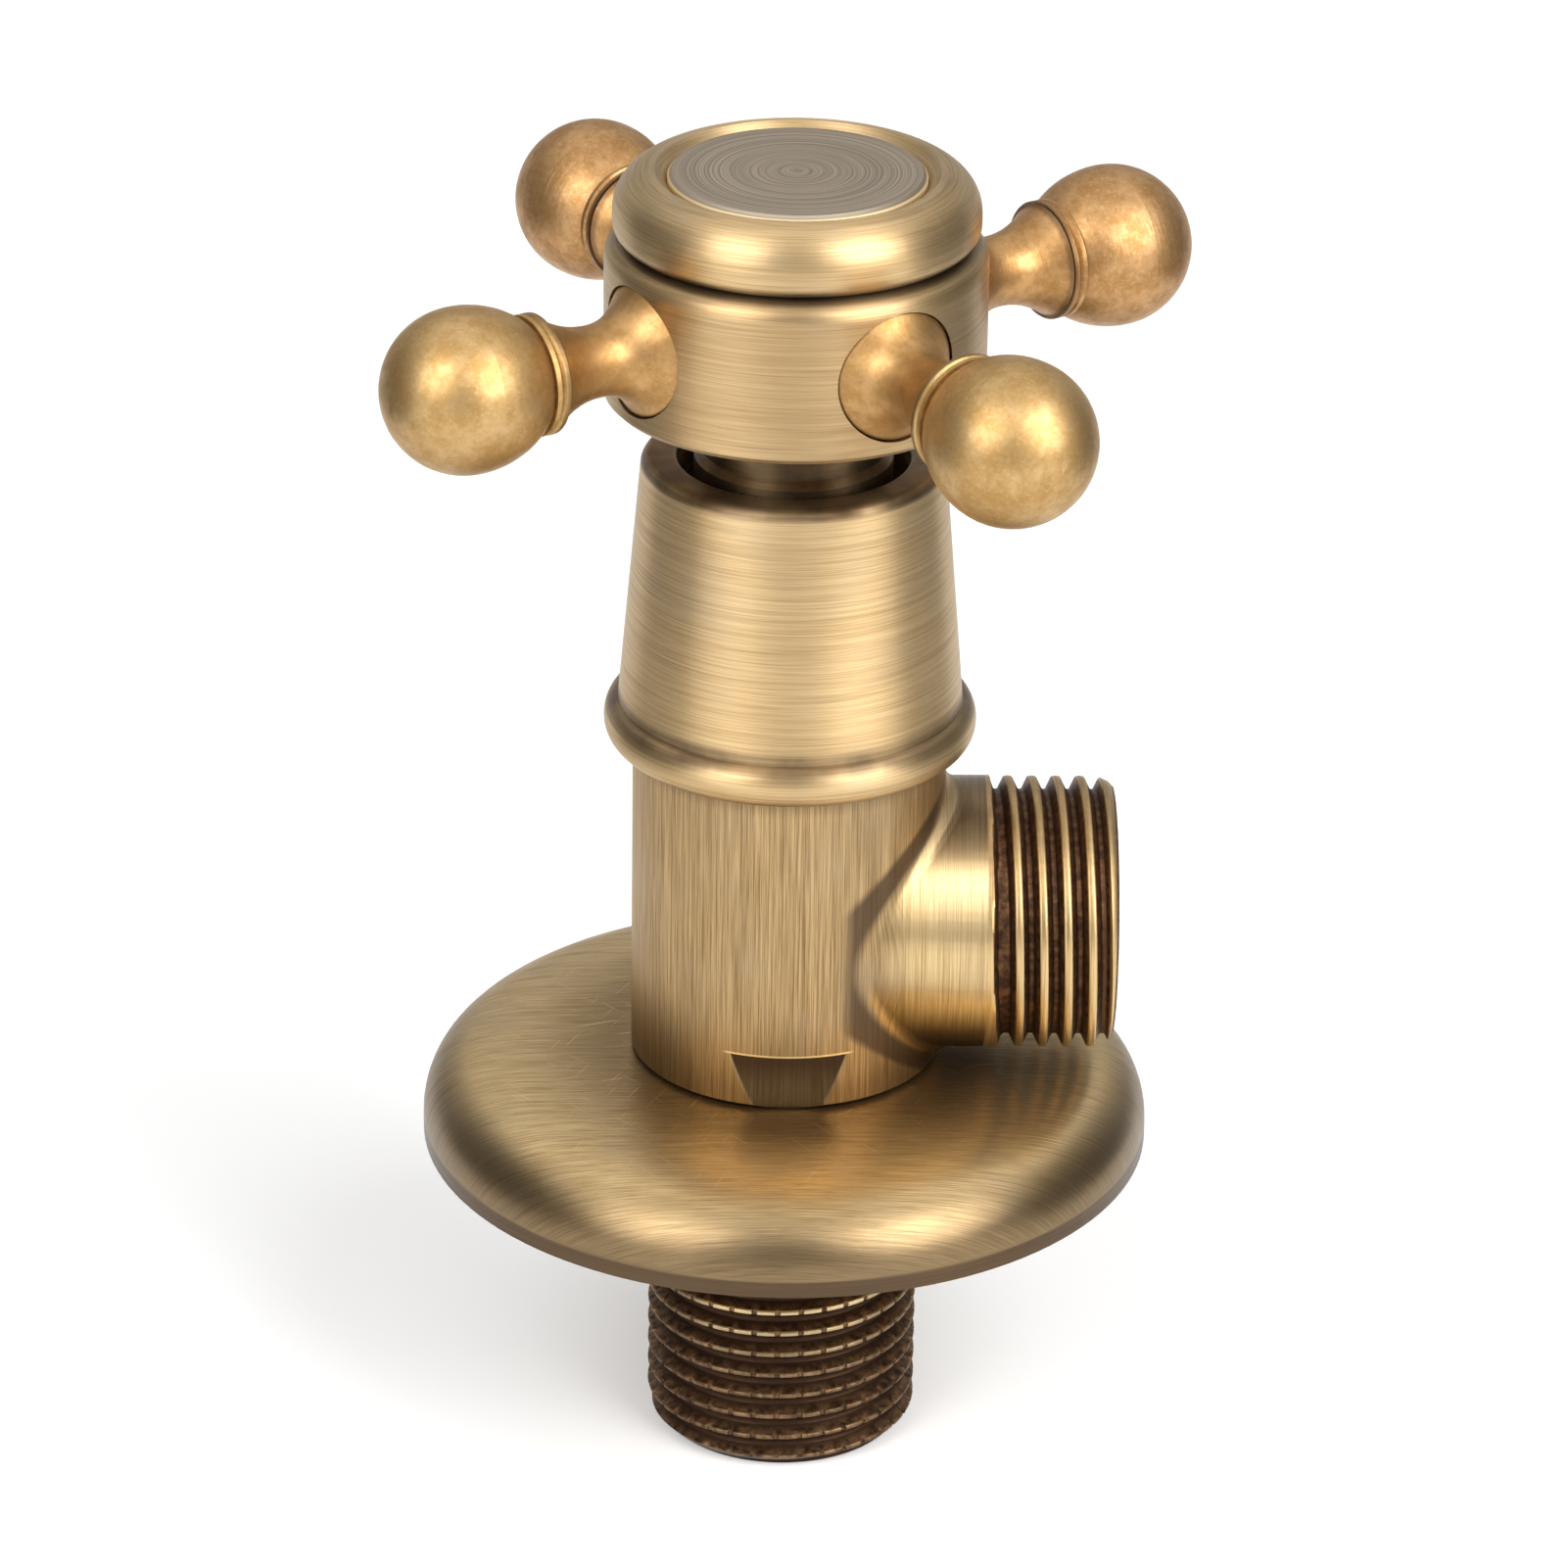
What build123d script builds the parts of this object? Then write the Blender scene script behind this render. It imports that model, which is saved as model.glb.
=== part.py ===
from build123d import *
import math
import os

os.makedirs("parts", exist_ok=True)

# Angle valve with a quarter-turn ceramic headwork and a four-spoke handle.
# The origin is the centre of the inlet's end face. +Z runs up the valve to the handle,
# and +X runs out along the outlet. The valve is shown closed. All sizes are in millimetres.

# Clearances
running_gap = 0.05
seat_gap = 0.02
groove_gap = 0.1
screw_hole_gap = 0.25

# Small edges, and the reach within which an edge is picked by its height
edge_break = 0.4
fine_edge_break = 0.2
picking_reach = 0.01

# How the thread ridges are made: turns in one piece, and how deep it sinks into the core
ridge_turns = 3
ridge_sink = 0.08
thread_seam_angle = 73

# Pipe threads, on the inlet below and the outlet at the side
pipe_pitch = 1.814
pipe_thread_depth = 1.0
pipe_crest_width = 0.5
pipe_foot_width = 1.62
inlet_crest_radius = 10.35
inlet_tip_radius = 9.2
inlet_helix_lead = 1.51
outlet_crest_radius = 10.25
outlet_tip_radius = 9.5
outlet_helix_lead = 0.37
waterway_radius = 7.0
waterway_bevel = 0.5
outlet_bore_length = 12.0
outlet_port_radius = 5.8

# Valve body
inlet_length = 32.0
undercut_radius = 9.3
undercut_length = 1.6
barrel_radius = 11.75
barrel_length = 27.8
barrel_bevel = 0.35
outlet_rise = 11.0
outlet_reach = 24.55
outlet_thread_length = 7.85
outlet_run_out = 1.2
neck_radius = 10.28
neck_fillet = 1.6
seat_rise = 3.4
seat_taper_length = 1.8
chamber_wall = 2.6
chamber_height = 15.0
spanner_pad_depth = 0.9
spanner_pad_foot_depth = 0.3
spanner_pad_height = 4.4

# Wall escutcheon
escutcheon_radius = 27.6
escutcheon_height = 7.08
escutcheon_wall = 0.9
escutcheon_band = 1.15
escutcheon_flat_radius = 20.1
escutcheon_flat_drop = 0.34
escutcheon_hole_gap = 0.55
escutcheon_fullness = 0.738
escutcheon_flat_slope = -0.04

# Headwork housing
housing_thread_inset = 0.15
housing_thread_depth = 0.6
housing_thread_length = 7.4
fine_pitch = 1.0
fine_crest_width = 0.2
fine_foot_width = 0.88
fine_thread_lead = 0.3
skirt_step = 1.0
skirt_wall = 1.0
skirt_end_gap = 0.5
skirt_roof_rise = 15.6
window_width = 7.0
window_height = 4.6
window_rise = 7.8
window_corner = 1.0
gasket_thickness = 1.0
gasket_width = 1.15
flange_inset = 1.45
flange_thickness = 1.3
hexagon_corner_inset = 0.485
hexagon_height = 5.0
housing_neck_radius = 7.5
housing_neck_height = 8.4
housing_neck_thread_length = 6.4
stop_pocket_depth = 2.8
stop_pocket_radius = 6.1

# Seat seal and ceramic discs
seal_thickness = 1.8
disc_gap = 0.15
disc_thickness = 2.5
disc_rim_width = 1.65
disc_hub_radius = 1.3
disc_port_angle = 80.0
disc_key_width = 3.0
disc_key_height = 0.8

# Spindle and what runs on it
spindle_radius = 4.0
shoulder_gap = 0.5
shoulder_thickness = 1.6
slide_washer_thickness = 0.5
stem_radius = 3.0
driver_foot_width = 4.4
driver_foot_gap = 1.0
driver_foot_height = 3.4
driver_key_depth = 0.9
oring_radius = 0.6
oring_groove_floor = 2.8
oring_groove_width = 1.6
oring_rise = 4.6
oring_spacing = 6.0
stop_lug_radius = 5.8
stop_lug_height = 2.2
stop_lug_angle = 30.0
stop_angle_gap = 1.5
handle_turn_angle = 90.0
circlip_radius = 5.4
circlip_thickness = 0.8
circlip_groove_floor = 3.4
circlip_opening_angle = 50.0
circlip_ear_angle = 12.0
circlip_ear_hole_radius = 0.45
spline_teeth = 20
spline_depth = 0.4
spline_groove_width = 0.55
spline_length = 9.6
spindle_top_drop = 0.8

# Bonnet shroud
shroud_height = 22.66
shroud_overlap = 2.06
shroud_bead_step = 2.16
shroud_bead_start_step = 0.91
shroud_bead_height = 3.22
shroud_foot_step = 1.11
shroud_head_inset = 0.55
shroud_lip = 0.9
shroud_inner_lip = 0.3
shroud_bore_radius = 8.6
shroud_cavity_inset = 0.95
shroud_step_rise = 1.0
shroud_web_height = 5.0
shroud_oring_radius = 0.45

# Handle hub
hub_radius = 14.0
hub_height = 12.1
hub_lift = 4.8
hub_shoulder = 1.4
hub_lower_bevel = 0.4
collar_radius = 6.8
collar_ring_radius = 7.35
collar_ring_height = 3.1
collar_length = 7.9
socket_rise = 2.7
web_thickness = 2.4
bush_radius = 5.2
screw_radius = 1.95
screw_length = 13.0
screw_head_radius = 3.6
screw_head_height = 2.4
screw_drive_flats = 2.5
screw_drive_depth = 1.6
screw_tap_run_out = 1.0
screw_washer_radius = 4.0
screw_washer_thickness = 0.6
screw_well_radius = 4.4
cap_well_radius = 8.65
cap_well_depth = 2.6

# Spokes
spoke_first_angle = 31.9
spoke_rise = 6.0
spoke_hole_radius = 4.9
spoke_hole_floor = 9.7
spoke_rim_gap = 0.12
spoke_rim_reach = 12.5
spoke_stud_radius = 2.5
spoke_stud_length = 3.9
spoke_waist_radius = 2.65
spoke_waist_reach = 17.2
spoke_flare_start_slope = -1.0
spoke_flare_end_slope = 0.75
spoke_ring_radius = 4.45
spoke_ring_reach = 21.75
spoke_ring_width = 1.1
spoke_ring_groove = 0.22
ball_radius = 6.05
ball_set_out = 5.15
ball_back_length = 7.0

# Handle cap and its disc
cap_radius = 13.4
cap_height = 5.0
cap_gap = 0.2
cap_shoulder = 3.0
cap_foot = 1.2
cap_mouth_radius = 10.4
cap_mouth_bevel = 0.8
cap_bore_radius = 6.6
cap_oring_radius = 0.5
cap_oring_rise = 1.4
index_disc_radius = 9.44
index_disc_thickness = 1.5
index_disc_inset = 0.1
index_disc_bevel = 0.38

# Radii that follow from the barrel's, working inwards and then out to the shroud
chamber_radius = barrel_radius - chamber_wall
housing_thread_radius = chamber_radius - housing_thread_inset
skirt_radius = housing_thread_radius - skirt_step
skirt_bore_radius = skirt_radius - skirt_wall
seal_radius = skirt_bore_radius - groove_gap
disc_radius = skirt_bore_radius - disc_gap
disc_port_radius = disc_radius - disc_rim_width
seat_bore_radius = disc_port_radius
shoulder_radius = skirt_bore_radius - shoulder_gap
driver_foot_length = 2 * (skirt_bore_radius - driver_foot_gap)
flange_radius = barrel_radius - flange_inset
hexagon_across_flats = 2 * (flange_radius - hexagon_corner_inset) * math.cos(math.radians(30))
shroud_bead_radius = barrel_radius + shroud_bead_step
shroud_bead_start = barrel_radius + shroud_bead_start_step
shroud_foot_radius = barrel_radius + shroud_foot_step
shroud_head_radius = barrel_radius - shroud_head_inset
shroud_cavity_radius = barrel_radius - shroud_cavity_inset

# Heights that follow from the sizes above
barrel_top = inlet_length + barrel_length
outlet_height = inlet_length + outlet_rise
seat_height = inlet_length + seat_rise
chamber_top = seat_height + chamber_height
skirt_roof = seat_height + skirt_roof_rise
fixed_disc_base = seat_height + seal_thickness + seat_gap
moving_disc_base = fixed_disc_base + disc_thickness + seat_gap
moving_disc_top = moving_disc_base + disc_thickness
driver_foot_base = moving_disc_top - driver_key_depth + seat_gap
flange_base = barrel_top + gasket_thickness + 2 * seat_gap
hexagon_base = flange_base + flange_thickness
housing_neck_base = hexagon_base + hexagon_height
housing_top = housing_neck_base + housing_neck_height
shoulder_top = skirt_roof - slide_washer_thickness - 2 * seat_gap
shroud_base = barrel_top - shroud_overlap
shroud_top = shroud_base + shroud_height
shroud_step = barrel_top + shroud_step_rise
shroud_web_top = housing_neck_base + shroud_web_height + groove_gap
hub_base = shroud_top + hub_lift
hub_top = hub_base + hub_height
collar_base = hub_base - collar_length
socket_roof = hub_base + socket_rise
web_top = socket_roof + web_thickness
spoke_height = hub_base + spoke_rise
cap_well_floor = hub_top - cap_well_depth
spindle_top = socket_roof - spindle_top_drop
spline_base = spindle_top - spline_length
screw_head_base = web_top + screw_washer_thickness + 2 * seat_gap
cap_base = hub_top + cap_gap
cap_top = cap_base + cap_height
index_disc_top = cap_top - index_disc_inset
index_disc_base = index_disc_top - index_disc_thickness

# Turned profiles are drawn as radius and height on a half plane that is set off from +X,
# so that their seams stay clear of the threads' and the outlet's edges
seam_angle = -37
turning_plane = Plane.XZ.rotated((0, 0, seam_angle))


def turned_level(height):
    """A level plane whose circles start at the seam angle."""
    return Plane.XY.offset(height).rotated((0, 0, seam_angle))


def thread_ridge(core_radius, crest_radius, pitch, crest_width, foot_width, start):
    """A right-handed ridge with flat flanks, rooted just inside the core."""
    root_radius = core_radius - ridge_sink

    def helix(radius, shift):
        return Edge.make_helix(pitch, ridge_turns * pitch, radius, center=(0, 0, start + shift))

    crest_low = helix(crest_radius, -crest_width / 2)
    crest_high = helix(crest_radius, crest_width / 2)
    foot_low = helix(root_radius, -foot_width / 2)
    foot_high = helix(root_radius, foot_width / 2)
    loop = [crest_low, crest_high, foot_high, foot_low]
    faces = [Face.make_surface_from_curves(a, b) for a, b in zip(loop, loop[1:] + loop[:1])]
    faces += [Face(Wire.make_polygon([edge @ end for edge in loop], close=True)) for end in (0, 1)]
    return Solid(Shell(faces))


def male_thread(crest_radius, depth, pitch, crest_width, foot_width, length, tip_radius, lead):
    """A solid threaded rod from its bevelled tip at height 0 up to length."""
    core_radius = crest_radius - depth
    ridge_height = ridge_turns * pitch
    beyond = 2 * pitch
    ridge_count = math.ceil((length + 2 * beyond) / ridge_height)
    with BuildPart() as rod:
        with Locations((0, 0, -beyond)):
            Cylinder(
                core_radius,
                ridge_count * ridge_height + 2 * beyond,
                rotation=(0, 0, thread_seam_angle),
                align=(Align.CENTER, Align.CENTER, Align.MIN),
            )
        for index in range(ridge_count):
            start = lead - beyond + index * ridge_height
            add(thread_ridge(core_radius, crest_radius, pitch, crest_width, foot_width, start))
        outer = crest_radius + depth
        with BuildSketch(turning_plane):
            with BuildLine():
                Polyline(
                    (0, 0),
                    (tip_radius, 0),
                    (outer, outer - tip_radius),
                    (outer, length),
                    (0, length),
                    close=True,
                )
            make_face()
        revolve(axis=Axis.Z, mode=Mode.INTERSECT)
    return rod.part


def rubber_ring(centre_radius, section_radius, height):
    """A round-section sealing ring."""
    with BuildPart() as ring:
        with BuildSketch(turning_plane):
            with Locations((centre_radius, height)):
                Circle(section_radius)
        revolve(axis=Axis.Z)
    return ring.part


# Valve body: threaded inlet shank, barrel and threaded outlet neck in one forging
inlet_thread = male_thread(
    inlet_crest_radius,
    pipe_thread_depth,
    pipe_pitch,
    pipe_crest_width,
    pipe_foot_width,
    inlet_length - undercut_length,
    inlet_tip_radius,
    inlet_helix_lead,
)
outlet_tip_plane = Plane(origin=(outlet_reach, 0, outlet_height), x_dir=(0, 0, 1), z_dir=(-1, 0, 0))
outlet_thread = outlet_tip_plane * male_thread(
    outlet_crest_radius,
    pipe_thread_depth,
    pipe_pitch,
    pipe_crest_width,
    pipe_foot_width,
    outlet_thread_length + outlet_run_out / 2,
    outlet_tip_radius,
    outlet_helix_lead,
)
outlet_axis = Axis((0, 0, outlet_height), (1, 0, 0))
neck_length = outlet_reach - outlet_thread_length

with BuildPart() as valve_body:
    # Barrel
    with BuildSketch(turned_level(inlet_length)):
        Circle(barrel_radius)
    extrude(amount=barrel_length)
    chamfer(valve_body.edges().filter_by(GeomType.CIRCLE), barrel_bevel)

    # Outlet neck, filleted into the barrel
    with BuildSketch(Plane.YZ):
        with Locations((0, outlet_height)):
            Circle(neck_radius)
    extrude(amount=neck_length)
    saddle = valve_body.edges().filter_by(GeomType.BSPLINE)
    fillet(saddle, neck_fillet)

    # Run-out cone where the outlet thread fades into the neck
    cone_end_radius = outlet_crest_radius - pipe_thread_depth - groove_gap
    with BuildSketch(Plane.XZ):
        with BuildLine():
            Polyline(
                (neck_length, outlet_height),
                (neck_length, outlet_height + neck_radius),
                (neck_length + outlet_run_out, outlet_height + cone_end_radius),
                (neck_length + outlet_run_out, outlet_height),
                close=True,
            )
        make_face()
    revolve(axis=outlet_axis)
    add(outlet_thread)

    # Inlet shank
    with BuildSketch(turned_level(inlet_length - undercut_length)):
        Circle(undercut_radius)
    extrude(amount=undercut_length)
    add(inlet_thread)

    # Waterway up to the seat, the headwork's chamber and the mouth it screws into
    mouth_radius = housing_thread_radius + running_gap
    with BuildSketch(turning_plane):
        with BuildLine():
            Polyline(
                (0, 0),
                (waterway_radius + waterway_bevel, 0),
                (waterway_radius, waterway_bevel),
                (waterway_radius, seat_height - 2 * seat_taper_length),
                (seat_bore_radius, seat_height - seat_taper_length),
                (seat_bore_radius, seat_height),
                (chamber_radius, seat_height),
                (chamber_radius, chamber_top),
                (mouth_radius, chamber_top),
                (mouth_radius, barrel_top - waterway_bevel),
                (mouth_radius + waterway_bevel, barrel_top),
                (0, barrel_top),
                close=True,
            )
        make_face()
    revolve(axis=Axis.Z, mode=Mode.SUBTRACT)

    # Waterway out of the chamber: a port, and the wider bore of the outlet
    with BuildSketch(Plane.XZ):
        with BuildLine():
            Polyline(
                (0, outlet_height),
                (0, outlet_height + outlet_port_radius),
                (outlet_reach - outlet_bore_length, outlet_height + outlet_port_radius),
                (outlet_reach - outlet_bore_length, outlet_height + waterway_radius),
                (outlet_reach - waterway_bevel, outlet_height + waterway_radius),
                (outlet_reach, outlet_height + waterway_radius + waterway_bevel),
                (outlet_reach, outlet_height),
                close=True,
            )
        make_face()
    revolve(axis=outlet_axis, mode=Mode.SUBTRACT)

    # Spanner pads at the front and back of the barrel's foot, a little shallower at the foot
    pad_top = inlet_length + spanner_pad_height
    for side in (-1, 1):
        with BuildSketch(Plane.YZ):
            with BuildLine():
                Polyline(
                    (side * (barrel_radius - spanner_pad_foot_depth), inlet_length),
                    (side * (barrel_radius - spanner_pad_depth), pad_top),
                    (side * 2 * barrel_radius, pad_top),
                    (side * 2 * barrel_radius, inlet_length),
                    close=True,
                )
            make_face()
        extrude(amount=barrel_radius, both=True, mode=Mode.SUBTRACT)
valve_body.part.label = "valve_body"
export_step(valve_body.part, "parts/valve_body.step")


# Wall escutcheon: pressed dome with a short rim band, loose on the inlet shank
escutcheon_top = inlet_length - seat_gap
escutcheon_base = escutcheon_top - escutcheon_height
escutcheon_hole_radius = inlet_crest_radius + escutcheon_hole_gap


def escutcheon_curve(inset):
    """Half section of the dome from its hole to its rim, inset into the sheet."""
    flat_height = escutcheon_top - escutcheon_flat_drop - inset
    rim_radius = escutcheon_radius - inset
    band_top = escutcheon_base + escutcheon_band
    shoulder_width = rim_radius - escutcheon_flat_radius
    shoulder_height = flat_height - band_top
    middle = (
        escutcheon_flat_radius + escutcheon_fullness * shoulder_width,
        band_top + escutcheon_fullness * shoulder_height,
    )
    Line((escutcheon_hole_radius, escutcheon_top - inset), (escutcheon_flat_radius, flat_height))
    Spline(
        (escutcheon_flat_radius, flat_height),
        middle,
        (rim_radius, band_top),
        tangents=((1, escutcheon_flat_slope), (0, -1)),
    )
    Line((rim_radius, band_top), (rim_radius, escutcheon_base))


with BuildPart() as wall_escutcheon:
    with BuildSketch(turning_plane):
        with BuildLine():
            escutcheon_curve(0)
            escutcheon_curve(escutcheon_wall)
            Line(
                (escutcheon_hole_radius, escutcheon_top),
                (escutcheon_hole_radius, escutcheon_top - escutcheon_wall),
            )
            Line(
                (escutcheon_radius, escutcheon_base),
                (escutcheon_radius - escutcheon_wall, escutcheon_base),
            )
        make_face()
    revolve(axis=Axis.Z)
wall_escutcheon.part.label = "wall_escutcheon"
export_step(wall_escutcheon.part, "parts/wall_escutcheon.step")


# Headwork housing: skirt with water windows, body thread, flange, hexagon and threaded neck
housing_thread_base = flange_base - housing_thread_length - undercut_length
housing_thread = Pos(0, 0, housing_thread_base) * male_thread(
    housing_thread_radius,
    housing_thread_depth,
    fine_pitch,
    fine_crest_width,
    fine_foot_width,
    housing_thread_length,
    housing_thread_radius - housing_thread_depth,
    fine_thread_lead,
)
housing_tip_plane = Plane(origin=(0, 0, housing_top), x_dir=(1, 0, 0), z_dir=(0, 0, -1))
neck_thread = housing_tip_plane * male_thread(
    housing_neck_radius,
    housing_thread_depth,
    fine_pitch,
    fine_crest_width,
    fine_foot_width,
    housing_neck_thread_length,
    housing_neck_radius - housing_thread_depth,
    fine_thread_lead,
)
skirt_base = seat_height + skirt_end_gap
pocket_start = -(stop_lug_angle / 2 + stop_angle_gap)
pocket_sweep = handle_turn_angle + stop_lug_angle + 2 * stop_angle_gap

with BuildPart() as headwork_housing:
    # Skirt, thread run-out, flange and neck
    thread_floor_radius = housing_thread_radius - housing_thread_depth - groove_gap
    neck_floor_radius = housing_neck_radius - housing_thread_depth - groove_gap
    with BuildSketch(turning_plane):
        with BuildLine():
            Polyline(
                (0, skirt_base),
                (skirt_radius, skirt_base),
                (skirt_radius, housing_thread_base + 2 * groove_gap),
                (thread_floor_radius, housing_thread_base + 4 * groove_gap),
                (thread_floor_radius, flange_base),
                (flange_radius, flange_base),
                (flange_radius, hexagon_base),
                (neck_floor_radius, hexagon_base),
                (neck_floor_radius, housing_top - 2 * groove_gap),
                (0, housing_top - 2 * groove_gap),
                close=True,
            )
        make_face()
    revolve(axis=Axis.Z)
    add(housing_thread)
    add(neck_thread)

    # Spanner hexagon with bevelled corners
    with BuildSketch(Plane.XY.offset(hexagon_base)):
        RegularPolygon(hexagon_across_flats / 2, 6, major_radius=False)
    extrude(amount=hexagon_height)
    top_corners = headwork_housing.faces().filter_by(Axis.Z).filter_by_position(
        Axis.Z, housing_neck_base - picking_reach, housing_neck_base + picking_reach
    )
    chamfer(top_corners[0].outer_wire().edges(), edge_break)

    # Spindle bore and skirt bore
    with BuildSketch(turning_plane):
        with BuildLine():
            Polyline(
                (0, skirt_base),
                (skirt_bore_radius, skirt_base),
                (skirt_bore_radius, skirt_roof),
                (spindle_radius + running_gap, skirt_roof),
                (spindle_radius + running_gap, housing_top),
                (0, housing_top),
                close=True,
            )
        make_face()
    revolve(axis=Axis.Z, mode=Mode.SUBTRACT)

    # Two water windows, in line with the outlet
    with BuildSketch(Plane.YZ):
        with Locations((0, seat_height + window_rise + window_height / 2)):
            RectangleRounded(window_width, window_height, window_corner)
    extrude(amount=2 * skirt_radius, both=True, mode=Mode.SUBTRACT)

    # Slots that hold the fixed disc's keys
    with BuildSketch(Plane.XY.offset(skirt_base)):
        Rectangle(disc_key_width + 2 * groove_gap, 3 * skirt_radius)
    extrude(amount=fixed_disc_base + disc_thickness - skirt_base, mode=Mode.SUBTRACT)

    # Stop pocket: the spindle's lug swings in it from closed to open
    with BuildSketch(Plane.XY.offset(housing_top - stop_pocket_depth)):
        with BuildLine():
            arc = CenterArc((0, 0), stop_pocket_radius, pocket_start, pocket_sweep)
            Line(arc @ 0, (0, 0))
            Line((0, 0), arc @ 1)
        make_face()
    extrude(amount=stop_pocket_depth, mode=Mode.SUBTRACT)
headwork_housing.part.label = "headwork_housing"
export_step(headwork_housing.part, "parts/headwork_housing.step")


# Gasket between the housing's flange and the barrel
with BuildPart() as headwork_gasket:
    with BuildSketch(Plane.XY.offset(barrel_top + seat_gap)):
        Circle(flange_radius - running_gap)
        Circle(flange_radius - gasket_width, mode=Mode.SUBTRACT)
    extrude(amount=gasket_thickness)
headwork_gasket.part.label = "headwork_gasket"
export_step(headwork_gasket.part, "parts/headwork_gasket.step")


# Seat seal: rubber ring between the body's seat and the fixed disc
with BuildPart() as seat_seal:
    with BuildSketch(Plane.XY.offset(seat_height + seat_gap)):
        Circle(seal_radius)
        Circle(seat_bore_radius, mode=Mode.SUBTRACT)
    extrude(amount=seal_thickness - seat_gap)
    fillet(seat_seal.edges().group_by(Axis.Z)[0], edge_break)
seat_seal.part.label = "seat_seal"
export_step(seat_seal.part, "parts/seat_seal.step")


def ported_disc(base, port_direction):
    """A polished ceramic disc with two opposite ports, the first towards port_direction."""
    blocked_angle = math.radians(90 - disc_port_angle / 2)
    corner_x = 2 * disc_radius * math.cos(blocked_angle)
    corner_y = 2 * disc_radius * math.sin(blocked_angle)
    with BuildPart() as disc:
        with BuildSketch(Plane.XY.offset(base)):
            Circle(disc_radius)
        extrude(amount=disc_thickness)
        with BuildSketch(Plane.XY.offset(base)):
            Circle(disc_port_radius)
            Circle(disc_hub_radius, mode=Mode.SUBTRACT)
            with PolarLocations(0, 2, start_angle=port_direction + 90):
                Polygon(
                    (0, 0), (corner_x, -corner_y), (corner_x, corner_y), align=None, mode=Mode.SUBTRACT
                )
        extrude(amount=disc_thickness, mode=Mode.SUBTRACT)
    return disc.part


# Fixed ceramic disc, keyed to the housing's skirt
with BuildPart() as ceramic_disc_fixed:
    add(ported_disc(fixed_disc_base, 0))
    with BuildSketch(Plane.XY.offset(fixed_disc_base)):
        with PolarLocations(disc_radius, 2, start_angle=90):
            Rectangle(2 * disc_key_height, disc_key_width)
    extrude(amount=disc_thickness - disc_key_height)
    disc_rims = ceramic_disc_fixed.edges().filter_by(GeomType.CIRCLE).group_by(Axis.Z)[-1]
    chamfer(disc_rims.sort_by(SortBy.RADIUS)[-1], fine_edge_break)
ceramic_disc_fixed.part.label = "ceramic_disc_fixed"
export_step(ceramic_disc_fixed.part, "parts/ceramic_disc_fixed.step")


# Moving ceramic disc, slotted for the spindle's foot
with BuildPart() as ceramic_disc_moving:
    add(ported_disc(moving_disc_base, 90))
    with BuildSketch(Plane.XY.offset(moving_disc_top)):
        Rectangle(3 * disc_radius, driver_foot_width + 2 * running_gap)
    extrude(amount=-driver_key_depth, mode=Mode.SUBTRACT)
ceramic_disc_moving.part.label = "ceramic_disc_moving"
export_step(ceramic_disc_moving.part, "parts/ceramic_disc_moving.step")


# Spindle: driver foot, shoulder, sealed shaft, stop lug and splined head
oring_heights = [shoulder_top + oring_rise, shoulder_top + oring_rise + oring_spacing]
circlip_base = housing_top + groove_gap

with BuildPart() as spindle:
    with BuildSketch(turning_plane):
        with BuildLine():
            Polyline(
                (0, driver_foot_base + driver_foot_height - edge_break),
                (stem_radius, driver_foot_base + driver_foot_height - edge_break),
                (stem_radius, shoulder_top - shoulder_thickness),
                (shoulder_radius, shoulder_top - shoulder_thickness),
                (shoulder_radius, shoulder_top),
                (spindle_radius, shoulder_top),
                (spindle_radius, spindle_top - edge_break),
                (spindle_radius - edge_break, spindle_top),
                (0, spindle_top),
                close=True,
            )
        make_face()
    revolve(axis=Axis.Z)

    # Driver foot
    with BuildSketch(Plane.XY.offset(driver_foot_base)):
        Rectangle(driver_foot_length, driver_foot_width)
    extrude(amount=driver_foot_height)

    # Grooves for the sealing rings and the circlip
    with BuildSketch(turning_plane):
        for height in oring_heights:
            with Locations((oring_groove_floor, height)):
                Rectangle(spindle_radius, oring_groove_width, align=(Align.MIN, Align.CENTER))
        with Locations((circlip_groove_floor, circlip_base)):
            Rectangle(spindle_radius, circlip_thickness + groove_gap, align=(Align.MIN, Align.MIN))
    revolve(axis=Axis.Z, mode=Mode.SUBTRACT)

    # Stop lug
    lug_base = housing_top - stop_pocket_depth + groove_gap
    with BuildSketch(Plane.XY.offset(lug_base)):
        with BuildLine():
            arc = CenterArc((0, 0), stop_lug_radius, -stop_lug_angle / 2, stop_lug_angle)
            Line(arc @ 0, (0, 0))
            Line((0, 0), arc @ 1)
        make_face()
    extrude(amount=stop_lug_height)

    # Spline
    with BuildSketch(Plane.XY.offset(spline_base)):
        with PolarLocations(spindle_radius, spline_teeth):
            Rectangle(2 * spline_depth, spline_groove_width)
    extrude(amount=spline_length, mode=Mode.SUBTRACT)

    # Tapped hole for the handle's screw
    tap_depth = screw_length - (screw_head_base - spindle_top) + screw_tap_run_out
    with BuildSketch(Plane.XY.offset(spindle_top)):
        Circle(screw_radius + running_gap)
    extrude(amount=-tap_depth, mode=Mode.SUBTRACT)
spindle.part.label = "spindle"
export_step(spindle.part, "parts/spindle.step")


# Sealing rings on the spindle
for name, height in zip(("spindle_oring_lower", "spindle_oring_upper"), oring_heights):
    spindle_oring = rubber_ring(oring_groove_floor + oring_radius + seat_gap / 2, oring_radius, height)
    spindle_oring.label = name
    export_step(spindle_oring, "parts/" + name + ".step")


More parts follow.
